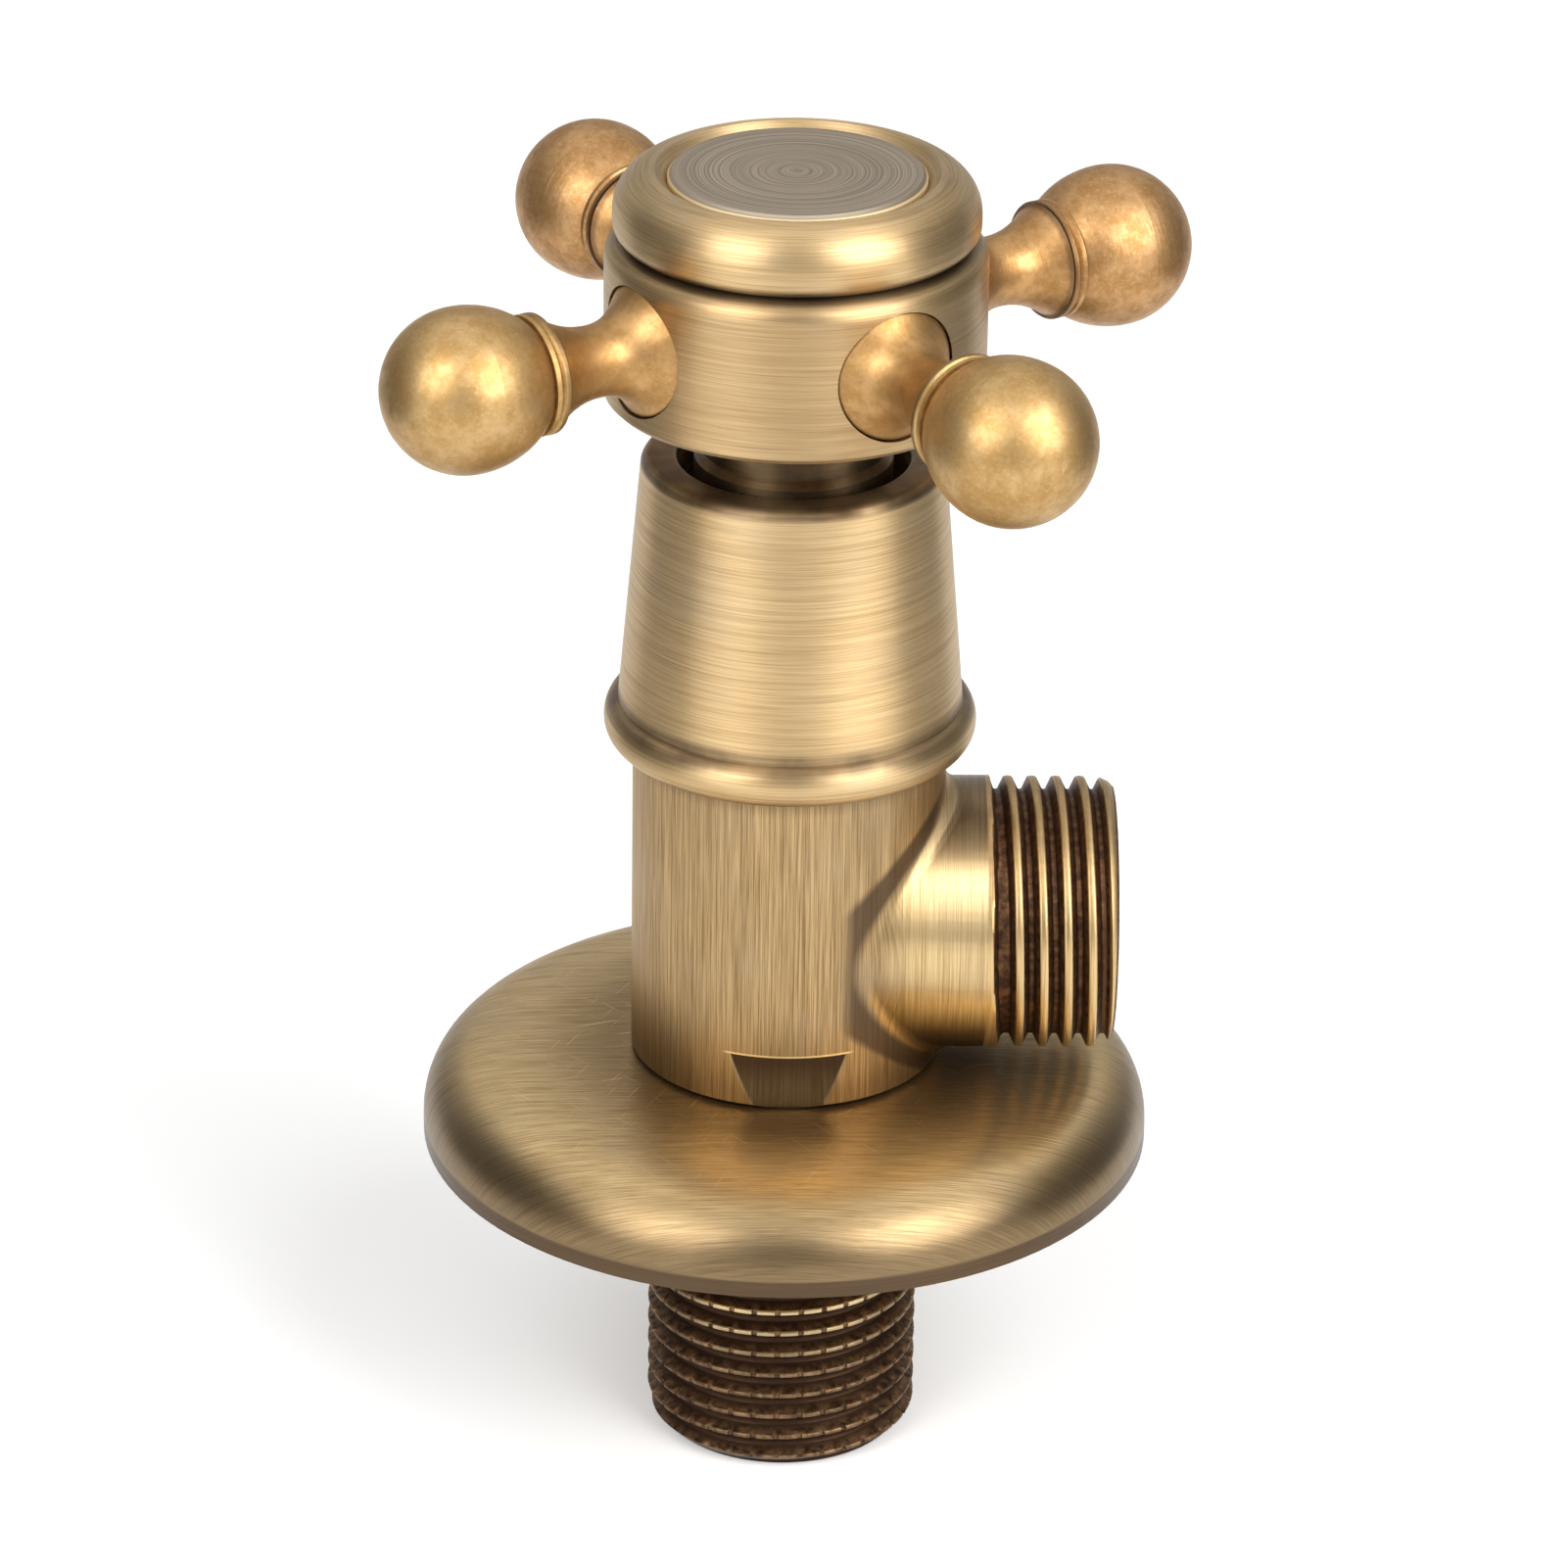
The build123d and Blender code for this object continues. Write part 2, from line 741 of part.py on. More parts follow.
# Slide washer between the spindle's shoulder and the housing
with BuildPart() as slide_washer:
    with BuildSketch(Plane.XY.offset(shoulder_top + seat_gap)):
        Circle(shoulder_radius)
        Circle(spindle_radius + 2 * running_gap, mode=Mode.SUBTRACT)
    extrude(amount=slide_washer_thickness)
slide_washer.part.label = "slide_washer"
export_step(slide_washer.part, "parts/slide_washer.step")


# Circlip that keeps the spindle in, with two holed ears at its opening
with BuildPart() as spindle_circlip:
    half_opening = math.radians(circlip_opening_angle / 2)
    opening_x = -2 * circlip_radius * math.cos(half_opening)
    opening_y = 2 * circlip_radius * math.sin(half_opening)
    ear_radius = (circlip_radius + circlip_groove_floor) / 2
    ear_angle = circlip_opening_angle / 2 + circlip_ear_angle
    with BuildSketch(Plane.XY.offset(circlip_base + groove_gap / 2)):
        Circle(circlip_radius)
        Circle(circlip_groove_floor + seat_gap, mode=Mode.SUBTRACT)
        Polygon((0, 0), (opening_x, opening_y), (opening_x, -opening_y), align=None, mode=Mode.SUBTRACT)
        with PolarLocations(
            ear_radius, 2, start_angle=180 - ear_angle, angular_range=2 * ear_angle, endpoint=True
        ):
            Circle(circlip_ear_hole_radius, mode=Mode.SUBTRACT)
    extrude(amount=circlip_thickness)
spindle_circlip.part.label = "spindle_circlip"
export_step(spindle_circlip.part, "parts/spindle_circlip.step")


# Bonnet shroud: bell with a rounded foot bead, screwed on the housing's neck
with BuildPart() as bonnet_shroud:
    bead_centre = shroud_base + shroud_bead_height / 2
    bead_width = shroud_bead_radius - shroud_bead_start
    bead_end_angle = math.degrees(math.acos((shroud_foot_radius - shroud_bead_start) / bead_width))
    skirt_inner = barrel_radius + 2 * running_gap
    with BuildSketch(turning_plane):
        with BuildLine():
            bead = EllipticalCenterArc(
                (shroud_bead_start, bead_centre),
                bead_width,
                shroud_bead_height / 2,
                -90,
                arc_size=90 + bead_end_angle,
            )
            Polyline(
                bead @ 1,
                (shroud_head_radius, shroud_top),
                (shroud_bore_radius, shroud_top),
                (shroud_bore_radius, shroud_web_top),
                (housing_neck_radius + running_gap, shroud_web_top),
                (housing_neck_radius + running_gap, housing_neck_base + groove_gap),
                (shroud_cavity_radius, housing_neck_base + groove_gap),
                (shroud_cavity_radius, shroud_step),
                (skirt_inner, shroud_step),
                (skirt_inner, shroud_base),
                bead @ 0,
            )
        make_face()
    revolve(axis=Axis.Z)
    lip = bonnet_shroud.edges().filter_by(GeomType.CIRCLE).group_by(Axis.Z)[-1].sort_by(SortBy.RADIUS)
    fillet(lip[-1], shroud_lip)
    fillet(lip[0], shroud_inner_lip)
bonnet_shroud.part.label = "bonnet_shroud"
export_step(bonnet_shroud.part, "parts/bonnet_shroud.step")


# Sealing ring that centres the shroud on the barrel
shroud_oring = rubber_ring(
    barrel_radius - shroud_oring_radius, shroud_oring_radius, barrel_top + shroud_oring_radius + seat_gap
)
shroud_oring.label = "shroud_oring"
export_step(shroud_oring, "parts/shroud_oring.step")


def spoke_plane(angle):
    """The upright plane through the valve's axis, with X out along a spoke."""
    along = (math.cos(math.radians(angle)), math.sin(math.radians(angle)), 0)
    across = (math.sin(math.radians(angle)), -math.cos(math.radians(angle)), 0)
    return Plane(origin=(0, 0, spoke_height), x_dir=along, z_dir=across)


spoke_angles = [spoke_first_angle + 90 * quarter for quarter in range(4)]

# Handle hub: collar with its ring, drum, socket for the spline bush and wells for screw and cap
with BuildPart() as handle_hub:
    ring_top = collar_base + collar_ring_height
    with BuildSketch(turning_plane):
        with BuildLine():
            Polyline(
                (bush_radius + running_gap, collar_base),
                (collar_ring_radius, collar_base),
                (collar_ring_radius, ring_top),
                (collar_radius, ring_top + collar_ring_radius - collar_radius),
                (collar_radius, hub_base),
                (hub_radius, hub_base),
                (hub_radius, hub_top),
                (cap_well_radius, hub_top),
                (cap_well_radius, cap_well_floor),
                (screw_well_radius, cap_well_floor),
                (screw_well_radius, web_top),
                (screw_radius + screw_hole_gap, web_top),
                (screw_radius + screw_hole_gap, socket_roof),
                (bush_radius + running_gap, socket_roof),
                close=True,
            )
        make_face()
    revolve(axis=Axis.Z)
    drum_rims = handle_hub.edges().filter_by(GeomType.CIRCLE).sort_by(SortBy.RADIUS)[-2:].sort_by(Axis.Z)
    fillet(drum_rims[1], hub_shoulder)
    lower_rim = handle_hub.edges().filter_by(GeomType.CIRCLE).sort_by(SortBy.RADIUS).filter_by_position(
        Axis.Z, hub_base - picking_reach, hub_base + picking_reach
    )[-1]
    chamfer(lower_rim, hub_lower_bevel)
    collar_rims = handle_hub.edges().filter_by(GeomType.CIRCLE).group_by(Axis.Z)[0]
    fillet(collar_rims.sort_by(SortBy.RADIUS)[-1], edge_break)

    # Seats and stud holes for the spokes
    for angle in spoke_angles:
        along = spoke_plane(angle).x_dir
        with BuildSketch(Plane(origin=along * spoke_hole_floor + Vector(0, 0, spoke_height), z_dir=along)):
            Circle(spoke_hole_radius)
        extrude(amount=hub_radius, mode=Mode.SUBTRACT)
        with BuildSketch(Plane(origin=along * spoke_hole_floor + Vector(0, 0, spoke_height), z_dir=along)):
            Circle(spoke_stud_radius + running_gap)
        extrude(amount=-(spoke_stud_length + 2 * groove_gap), mode=Mode.SUBTRACT)
handle_hub.part.label = "handle_hub"
export_step(handle_hub.part, "parts/handle_hub.step")


# Spokes: stud, seat rim, waist, double ring and ball, turned in one piece each
spoke_names = ["spoke_back_right", "spoke_back_left", "spoke_front_left", "spoke_front_right"]
rim_radius = spoke_hole_radius - spoke_rim_gap
stud_end = spoke_hole_floor - spoke_stud_length
ring_end = spoke_ring_reach + spoke_ring_width
ring_third = spoke_ring_width / 3
ball_reach = ring_end + ball_set_out
ball_start_angle = math.degrees(math.acos((ring_end - ball_reach) / ball_back_length))

for name, angle in zip(spoke_names, spoke_angles):
    plane = spoke_plane(angle)
    with BuildPart() as spoke:
        with BuildSketch(plane):
            with BuildLine():
                Polyline(
                    (stud_end, 0),
                    (stud_end, spoke_stud_radius - edge_break),
                    (stud_end + edge_break, spoke_stud_radius),
                    (spoke_hole_floor + seat_gap, spoke_stud_radius),
                    (spoke_hole_floor + seat_gap, rim_radius),
                    (spoke_rim_reach, rim_radius),
                )
                Spline(
                    (spoke_rim_reach, rim_radius),
                    (spoke_waist_reach, spoke_waist_radius),
                    (spoke_ring_reach, spoke_ring_radius - spoke_ring_groove),
                    tangents=((1, spoke_flare_start_slope), (1, spoke_flare_end_slope)),
                )
                Polyline(
                    (spoke_ring_reach, spoke_ring_radius - spoke_ring_groove),
                    (spoke_ring_reach, spoke_ring_radius),
                    (spoke_ring_reach + ring_third, spoke_ring_radius),
                    (spoke_ring_reach + ring_third * 1.5, spoke_ring_radius - spoke_ring_groove),
                    (spoke_ring_reach + ring_third * 2, spoke_ring_radius),
                    (ring_end, spoke_ring_radius),
                )
                ball_back = EllipticalCenterArc(
                    (ball_reach, 0), ball_back_length, ball_radius, 90, arc_size=ball_start_angle - 90
                )
                Line((ring_end, spoke_ring_radius), ball_back @ 1)
                CenterArc((ball_reach, 0), ball_radius, 0, 90)
                Line((ball_reach + ball_radius, 0), (stud_end, 0))
            make_face()
        revolve(axis=Axis((0, 0, spoke_height), plane.x_dir))
    spoke.part.label = name
    export_step(spoke.part, "parts/" + name + ".step")


# Spline bush: insert in the hub's socket that grips the spindle
with BuildPart() as spline_bush:
    with BuildSketch(Plane.XY.offset(spline_base + groove_gap)):
        Circle(bush_radius)
        Circle(spindle_radius + running_gap, mode=Mode.SUBTRACT)
        with PolarLocations(spindle_radius, spline_teeth):
            Rectangle(2 * (spline_depth - running_gap), spline_groove_width - 2 * running_gap)
    extrude(amount=spline_length - groove_gap)
spline_bush.part.label = "spline_bush"
export_step(spline_bush.part, "parts/spline_bush.step")


# Washer under the screw's head
with BuildPart() as screw_washer:
    with BuildSketch(Plane.XY.offset(web_top + seat_gap)):
        Circle(screw_washer_radius)
        Circle(screw_radius + 2 * running_gap, mode=Mode.SUBTRACT)
    extrude(amount=screw_washer_thickness)
screw_washer.part.label = "screw_washer"
export_step(screw_washer.part, "parts/screw_washer.step")


# Handle screw with a hexagon socket
with BuildPart() as handle_screw:
    with BuildSketch(Plane.XY.offset(screw_head_base)):
        Circle(screw_head_radius)
    extrude(amount=screw_head_height)
    fillet(handle_screw.edges().group_by(Axis.Z)[-1], edge_break)
    with BuildSketch(Plane.XY.offset(screw_head_base)):
        Circle(screw_radius)
    extrude(amount=-screw_length)
    chamfer(handle_screw.edges().group_by(Axis.Z)[0], edge_break)
    with BuildSketch(Plane.XY.offset(screw_head_base + screw_head_height)):
        RegularPolygon(screw_drive_flats / 2, 6, major_radius=False)
    extrude(amount=-screw_drive_depth, mode=Mode.SUBTRACT)
handle_screw.part.label = "handle_screw"
export_step(handle_screw.part, "parts/handle_screw.step")


# Handle cap: rounded ring with a spigot that pushes into the hub
spigot_radius = cap_well_radius - running_gap
spigot_base = cap_well_floor + groove_gap
cap_oring_height = spigot_base + cap_oring_rise
cap_groove_floor = spigot_radius - 2 * cap_oring_radius

with BuildPart() as handle_cap:
    pocket_radius = index_disc_radius + running_gap
    pocket_floor = index_disc_base - seat_gap
    with BuildSketch(turning_plane):
        with BuildLine():
            Polyline(
                (cap_bore_radius, spigot_base),
                (spigot_radius, spigot_base),
                (spigot_radius, cap_base),
                (cap_radius - cap_foot, cap_base),
            )
            CenterArc((cap_radius - cap_foot, cap_base + cap_foot), cap_foot, -90, 90)
            Line((cap_radius, cap_base + cap_foot), (cap_radius, cap_top - cap_shoulder))
            CenterArc((cap_radius - cap_shoulder, cap_top - cap_shoulder), cap_shoulder, 0, 90)
            Polyline(
                (cap_radius - cap_shoulder, cap_top),
                (cap_mouth_radius - seat_gap, cap_top),
                (pocket_radius, cap_top - cap_mouth_bevel),
                (pocket_radius, pocket_floor),
                (cap_bore_radius, pocket_floor),
                (cap_bore_radius, spigot_base),
            )
        make_face()
        with Locations((cap_groove_floor, cap_oring_height)):
            Rectangle(
                4 * cap_oring_radius,
                2 * cap_oring_radius + 2 * groove_gap,
                align=(Align.MIN, Align.CENTER),
                mode=Mode.SUBTRACT,
            )
    revolve(axis=Axis.Z)
handle_cap.part.label = "handle_cap"
export_step(handle_cap.part, "parts/handle_cap.step")


# Sealing ring on the cap's spigot
cap_oring_centre = cap_groove_floor + cap_oring_radius + seat_gap / 2
cap_oring = rubber_ring(cap_oring_centre, cap_oring_radius, cap_oring_height)
cap_oring.label = "cap_oring"
export_step(cap_oring, "parts/cap_oring.step")


# Index disc let into the cap
with BuildPart() as index_disc:
    with BuildSketch(Plane.XY.offset(index_disc_base)):
        Circle(index_disc_radius)
    extrude(amount=index_disc_thickness)
    chamfer(index_disc.edges().group_by(Axis.Z)[-1], index_disc_bevel)
index_disc.part.label = "index_disc"
export_step(index_disc.part, "parts/index_disc.step")
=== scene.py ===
import math

import bmesh
import bpy
from mathutils import Matrix, Vector


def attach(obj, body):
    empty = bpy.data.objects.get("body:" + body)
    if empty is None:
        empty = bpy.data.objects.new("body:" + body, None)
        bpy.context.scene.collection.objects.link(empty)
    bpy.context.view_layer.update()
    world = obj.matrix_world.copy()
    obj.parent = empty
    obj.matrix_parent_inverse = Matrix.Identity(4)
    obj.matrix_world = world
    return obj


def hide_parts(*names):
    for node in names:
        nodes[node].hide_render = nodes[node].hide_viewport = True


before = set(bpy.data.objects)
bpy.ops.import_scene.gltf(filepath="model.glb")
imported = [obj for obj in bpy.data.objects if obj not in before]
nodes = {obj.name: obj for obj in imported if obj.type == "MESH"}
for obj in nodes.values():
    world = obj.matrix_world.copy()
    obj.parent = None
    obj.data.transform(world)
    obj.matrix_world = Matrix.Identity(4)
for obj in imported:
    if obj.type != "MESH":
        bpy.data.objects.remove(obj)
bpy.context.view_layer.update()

# Lengths are in metres. MM turns the part's millimetres into metres.
MM = 0.001

# Sizes repeated from the part's source
BARREL_FOOT = 32.0 * MM
BARREL_TOP = BARREL_FOOT + 27.8 * MM
BARREL_RADIUS = 11.75 * MM
INLET_THREAD_LENGTH = BARREL_FOOT - 1.6 * MM
INLET_CREST_RADIUS = 10.35 * MM
INLET_TIP_RADIUS = 9.2 * MM
INLET_HELIX_LEAD = 1.51 * MM
OUTLET_HEIGHT = BARREL_FOOT + 11.0 * MM
OUTLET_REACH = 24.55 * MM
OUTLET_CREST_RADIUS = 10.25 * MM
OUTLET_TIP_RADIUS = 9.5 * MM
NECK_RADIUS = 10.28 * MM
PAD_TOP = BARREL_FOOT + 4.4 * MM
THREAD_PITCH = 1.814 * MM
THREAD_DEPTH = 1.0 * MM
ESCUTCHEON_RADIUS = 27.6 * MM
HUB_RADIUS = 14.0 * MM
CAP_RADIUS = 13.4 * MM
INDEX_DISC_RADIUS = 9.44 * MM
SPOKE_RIM_REACH = 12.5 * MM
SPOKE_RING_REACH = 21.75 * MM
SPOKE_HEIGHT = 91.2 * MM
SPOKE_ANGLES = {
    "spoke_back_right": 31.9,
    "spoke_back_left": 121.9,
    "spoke_front_left": 211.9,
    "spoke_front_right": 301.9,
}

# The start of the outlet's helix, set so that its crests meet those in the photograph
OUTLET_HELIX_LEAD = 0.55 * MM

# Camera, fitted to the photograph's outlines
IMAGE_SIZE = 1601
FOCAL_PIXELS = 7330.9
SENSOR_WIDTH = 36.0
CAMERA_DISTANCE = 538.6 * MM
CAMERA_ELEVATION = math.radians(25.33)
CAMERA_AZIMUTH = math.radians(-1.2)
CAMERA_ROLL = math.radians(0.82)
AIM_SIDEWAYS = -0.37 * MM
AIM_HEIGHT = 53.49 * MM

# Studio: lamps, grey cards, the half sphere of walls that only the metal mirrors, and the floor
LAMP_AIM_HEIGHT = 55 * MM
FLAG_DISTANCE = 0.17
FLAG_SIZE = 0.17
FLAG_GREY = 0.2
STUDIO_RADIUS = 2.4
WALL_GREY = 0.34
WALL_ROOF = 0.95
WALL_BACK = 0.2
WALL_FRONT_DROP = 0.24
FLOOR_HALF_SIDE = 3.0
FLOOR_WHITE = 0.92
FLOOR_LIFT = 0.14
SKY_LOW = 0.25
SKY_HIGH = 0.6


def direction(azimuth, elevation):
    """A unit vector out from the valve. Azimuth 0 is the front, and 90 degrees is the outlet's side."""
    level = math.cos(elevation)
    return Vector((math.sin(azimuth) * level, -math.cos(azimuth) * level, math.sin(elevation)))


def add_object(name, data):
    item = bpy.data.objects.new(name, data)
    bpy.context.scene.collection.objects.link(item)
    return item


def paint(data, material):
    """Gives a mesh one material in place of what it had."""
    data.materials.clear()
    data.materials.append(material)


def square_mesh(name, corners):
    mesh = bpy.data.meshes.new(name)
    mesh.from_pydata(corners, [], [(0, 1, 2, 3)])
    return mesh


def smooth_data(name, mesh, sharp_degrees):
    """A mesh shaded smooth, but for the edges that turn by more than an angle."""
    data = bpy.data.meshes.new(name)
    mesh.to_mesh(data)
    mesh.free()
    data.shade_smooth()
    data.set_sharp_from_angle(angle=math.radians(sharp_degrees))
    return data


def add_camera():
    """The photograph's viewpoint."""
    right = Vector((math.cos(CAMERA_AZIMUTH), math.sin(CAMERA_AZIMUTH), 0))
    toward = direction(CAMERA_AZIMUTH, CAMERA_ELEVATION)
    up = toward.cross(right)
    image_right = math.cos(CAMERA_ROLL) * right + math.sin(CAMERA_ROLL) * up
    image_up = toward.cross(image_right)
    aim = AIM_SIDEWAYS * right + Vector((0, 0, AIM_HEIGHT))
    data = bpy.data.cameras.new("camera")
    data.sensor_width = SENSOR_WIDTH
    data.lens = FOCAL_PIXELS * SENSOR_WIDTH / IMAGE_SIZE
    camera = add_object("camera", data)
    rotation = Matrix((image_right, image_up, toward)).transposed()
    camera.matrix_world = Matrix.Translation(aim + CAMERA_DISTANCE * toward) @ rotation.to_4x4()
    bpy.context.scene.camera = camera


# Studio


def add_soft_box(name, azimuth, elevation, distance, width, height, power):
    """An area lamp that faces the middle of the valve. Its angles are in degrees."""
    data = bpy.data.lights.new(name, "AREA")
    data.shape = "RECTANGLE"
    data.size = width
    data.size_y = height
    data.energy = power
    out = direction(math.radians(azimuth), math.radians(elevation))
    lamp = add_object(name, data)
    lamp.location = Vector((0, 0, LAMP_AIM_HEIGHT)) + distance * out
    lamp.rotation_mode = "QUATERNION"
    lamp.rotation_quaternion = out.to_track_quat("Z", "Y")


def only_reflected(item):
    """Leaves an object to the metal's reflections alone, as a card beside the set would be."""
    item.visible_camera = False
    item.visible_diffuse = False
    item.visible_shadow = False


def add_flag(name, azimuth):
    """A square grey card that stands beside the valve, at an azimuth in degrees."""
    out = direction(math.radians(azimuth), 0)
    side = Vector((0, 0, 1)).cross(out) * FLAG_SIZE / 2
    foot = FLAG_DISTANCE * out
    top = Vector((0, 0, FLAG_SIZE))
    mesh = square_mesh(name, [foot - side, foot + side, foot + side + top, foot - side + top])
    material, shader = new_material(name + "_card")
    surface = shader.add("Emission")
    surface.inputs["Color"].default_value = (FLAG_GREY, FLAG_GREY, FLAG_GREY, 1)
    shader.finish(surface)
    paint(mesh, material)
    only_reflected(add_object(name, mesh))


def add_studio_walls():
    """The room round the set: grey walls, a pale roof and back wall, and the dark end with the camera."""
    mesh = bmesh.new()
    bmesh.ops.create_uvsphere(mesh, u_segments=48, v_segments=24, radius=STUDIO_RADIUS)
    below = [vert for vert in mesh.verts if vert.co.z < -1 * MM]
    bmesh.ops.delete(mesh, geom=below, context="VERTS")
    data = bpy.data.meshes.new("studio_walls")
    mesh.to_mesh(data)
    mesh.free()
    material, shader = new_material("studio_walls_paint")
    x, y, z = [shader.over(value, STUDIO_RADIUS) for value in shader.place()]
    roof = shader.ramp(z, 0.45, 0.9, 0.0, WALL_ROOF)
    back = shader.times(shader.ramp(y, 0.3, 0.85), WALL_BACK)
    front = shader.times(shader.ramp(y, -0.45, -0.9), shader.ramp(z, 0.4, 0.06), WALL_FRONT_DROP)
    surface = shader.add("Emission")
    shader.feed(surface.inputs["Strength"], shader.minus(shader.plus(roof, back, WALL_GREY), front))
    shader.finish(surface)
    paint(data, material)
    only_reflected(add_object("studio_walls", data))


def add_floor():
    """A matt white floor, lifted a little where it is seen or mirrored."""
    half = FLOOR_HALF_SIDE
    mesh = square_mesh("floor", [(-half, -half, 0), (half, -half, 0), (half, half, 0), (-half, half, 0)])
    floor = add_object("floor", mesh)
    material, shader = new_material("floor_white")
    surface = shader.add("BsdfPrincipled")
    surface.inputs["Base Color"].default_value = (FLOOR_WHITE, FLOOR_WHITE, FLOOR_WHITE, 1)
    surface.inputs["Roughness"].default_value = 0.9
    surface.inputs["Specular IOR Level"].default_value = 0.0
    surface.inputs["Emission Color"].default_value = (1, 1, 1, 1)
    shader.feed(surface.inputs["Emission Strength"], shader.blend(shader.seen_rays(), 0.0, FLOOR_LIFT))
    shader.finish(surface)
    paint(mesh, material)


def add_world():
    """White where it is seen or mirrored, and a soft even light from above on the set."""
    world = bpy.data.worlds.new("studio")
    world.use_nodes = True
    bpy.context.scene.world = world
    shader = Shader(world.node_tree)
    split = shader.add("SeparateXYZ")
    shader.feed(split.inputs[0], shader.add("TexCoord").outputs["Generated"])
    sky = shader.ramp(split.outputs[2], 0.1, 0.8, SKY_LOW, SKY_HIGH)
    background = shader.add("Background")
    shader.feed(background.inputs["Strength"], shader.blend(shader.seen_rays(), sky, 1.0))
    output = shader.add("OutputWorld")
    shader.feed(output.inputs["Surface"], background.outputs[0])


# Materials


def rgb(red, green, blue):
    """An sRGB colour given in 0..255, as the linear colour that Blender takes."""
    parts = [value / 255 for value in (red, green, blue)]
    return (*[p / 12.92 if p <= 0.04 else ((p + 0.055) / 1.055) ** 2.4 for p in parts], 1.0)


class Shader:
    """Builds one material, or the world, as a graph of nodes."""

    def __init__(self, tree):
        self.tree = tree
        self.tree.nodes.clear()

    def add(self, kind, **settings):
        node = self.tree.nodes.new("ShaderNode" + kind)
        for key, value in settings.items():
            setattr(node, key, value)
        return node

    def feed(self, socket, value):
        """Links a socket to another one, or writes a plain value on it."""
        if isinstance(value, bpy.types.NodeSocket):
            self.tree.links.new(value, socket)
        else:
            socket.default_value = value

    def math(self, operation, *values):
        node = self.add("Math", operation=operation)
        for socket, value in zip(node.inputs, values):
            self.feed(socket, value)
        return node.outputs[0]

    def chain(self, operation, values):
        """Works through any number of values from left to right."""
        total = values[0]
        for value in values[1:]:
            total = self.math(operation, total, value)
        return total

    def plus(self, *values):
        return self.chain("ADD", values)

    def minus(self, first, second):
        return self.math("SUBTRACT", first, second)

    def times(self, *values):
        return self.chain("MULTIPLY", values)

    def over(self, first, second):
        return self.math("DIVIDE", first, second)

    def most(self, *values):
        return self.chain("MAXIMUM", values)

    def where(self):
        """The object's own place, in metres, as one vector."""
        return self.add("TexCoord").outputs["Object"]

    def place(self):
        """The object's own x, y and z, in metres."""
        split = self.add("SeparateXYZ")
        self.feed(split.inputs[0], self.where())
        return split.outputs[0], split.outputs[1], split.outputs[2]

    def turned(self, x, y, degrees):
        """How far x, y lies along a direction at an angle from +X, and how far across it."""
        cosine, sine = math.cos(math.radians(degrees)), math.sin(math.radians(degrees))
        along = self.plus(self.times(x, cosine), self.times(y, sine))
        return along, self.minus(self.times(y, cosine), self.times(x, sine))

    def vector(self, x, y, z):
        node = self.add("CombineXYZ")
        for socket, value in zip(node.inputs, (x, y, z)):
            self.feed(socket, value)
        return node.outputs[0]

    def noise(self, vector, scale=1.0, detail=3.0, roughness=0.5):
        node = self.add("TexNoise")
        self.feed(node.inputs["Vector"], vector)
        node.inputs["Scale"].default_value = scale
        node.inputs["Detail"].default_value = detail
        node.inputs["Roughness"].default_value = roughness
        return node.outputs["Fac"]

    def ramp(self, value, low, high, out_low=0.0, out_high=1.0):
        """Maps low..high smoothly to out_low..out_high."""
        node = self.add("MapRange", interpolation_type="SMOOTHSTEP")
        for socket, number in zip(node.inputs, (value, low, high, out_low, out_high)):
            self.feed(socket, number)
        return node.outputs[0]

    def band(self, value, low, high, soft):
        """One between low and high, fading out over soft on both sides."""
        return self.times(self.ramp(value, low - soft, low), self.ramp(value, high, high + soft, 1.0, 0.0))

    def choose(self, kind, indices, factor, first, second):
        """A Mix node of one kind: its first value at factor 0, and its second at 1."""
        node = self.add("Mix", data_type=kind)
        for index, value in zip(indices, (factor, first, second)):
            self.feed(node.inputs[index], value)
        return node

    def blend(self, factor, first, second):
        return self.choose("FLOAT", (0, 2, 3), factor, first, second).outputs[0]

    def mix(self, factor, first, second):
        return self.choose("RGBA", (0, 6, 7), factor, first, second).outputs[2]

    def mix_vectors(self, factor, first, second):
        return self.choose("VECTOR", (0, 4, 5), factor, first, second).outputs[1]

    def length(self, first, second):
        return self.math("SQRT", self.plus(self.times(first, first), self.times(second, second)))

    def seen_rays(self):
        """One for rays from the camera, and for those that a mirror or glass sends on."""
        rays = self.add("LightPath").outputs
        return self.most(rays["Is Camera Ray"], rays["Is Transmission Ray"], rays["Is Glossy Ray"])

    def bump(self, height, distance):
        node = self.add("Bump")
        node.inputs["Distance"].default_value = distance
        self.feed(node.inputs["Height"], height)
        return node.outputs[0]

    def finish(self, surface):
        output = self.add("OutputMaterial")
        self.feed(output.inputs["Surface"], surface.outputs[0])


def new_material(name):
    material = bpy.data.materials.new(name)
    material.use_nodes = True
    return material, Shader(material.node_tree)


# Colours: each metal has the light one of its marks and the deep one between them
BRASS = (rgb(206, 178, 133), rgb(166, 138, 96))
HUB_BRASS = (rgb(186, 159, 118), rgb(154, 127, 89))
CAP_BRASS = (rgb(199, 172, 129), rgb(163, 136, 95))
BODY_BRASS = (rgb(188, 160, 116), rgb(112, 86, 54))
# The neck's colours are a lighter copy of the barrel's, a painted highlight on the neck
NECK_BRASS_LIT = (rgb(216, 190, 142), rgb(168, 140, 94))
DOME_BRASS = (rgb(222, 194, 142), rgb(136, 108, 70))
DISC_BRASS = (rgb(168, 155, 138), rgb(126, 114, 98))
GOLD_BALL = (rgb(186, 155, 108), rgb(164, 130, 79))
COPPER_BALL = (rgb(186, 147, 102), rgb(156, 116, 70))
STEM_BRASS = (rgb(182, 141, 91), rgb(152, 114, 68))
BARE_BRASS = (rgb(205, 170, 100), rgb(165, 130, 70))
STEEL = (rgb(190, 190, 192), rgb(140, 140, 144))
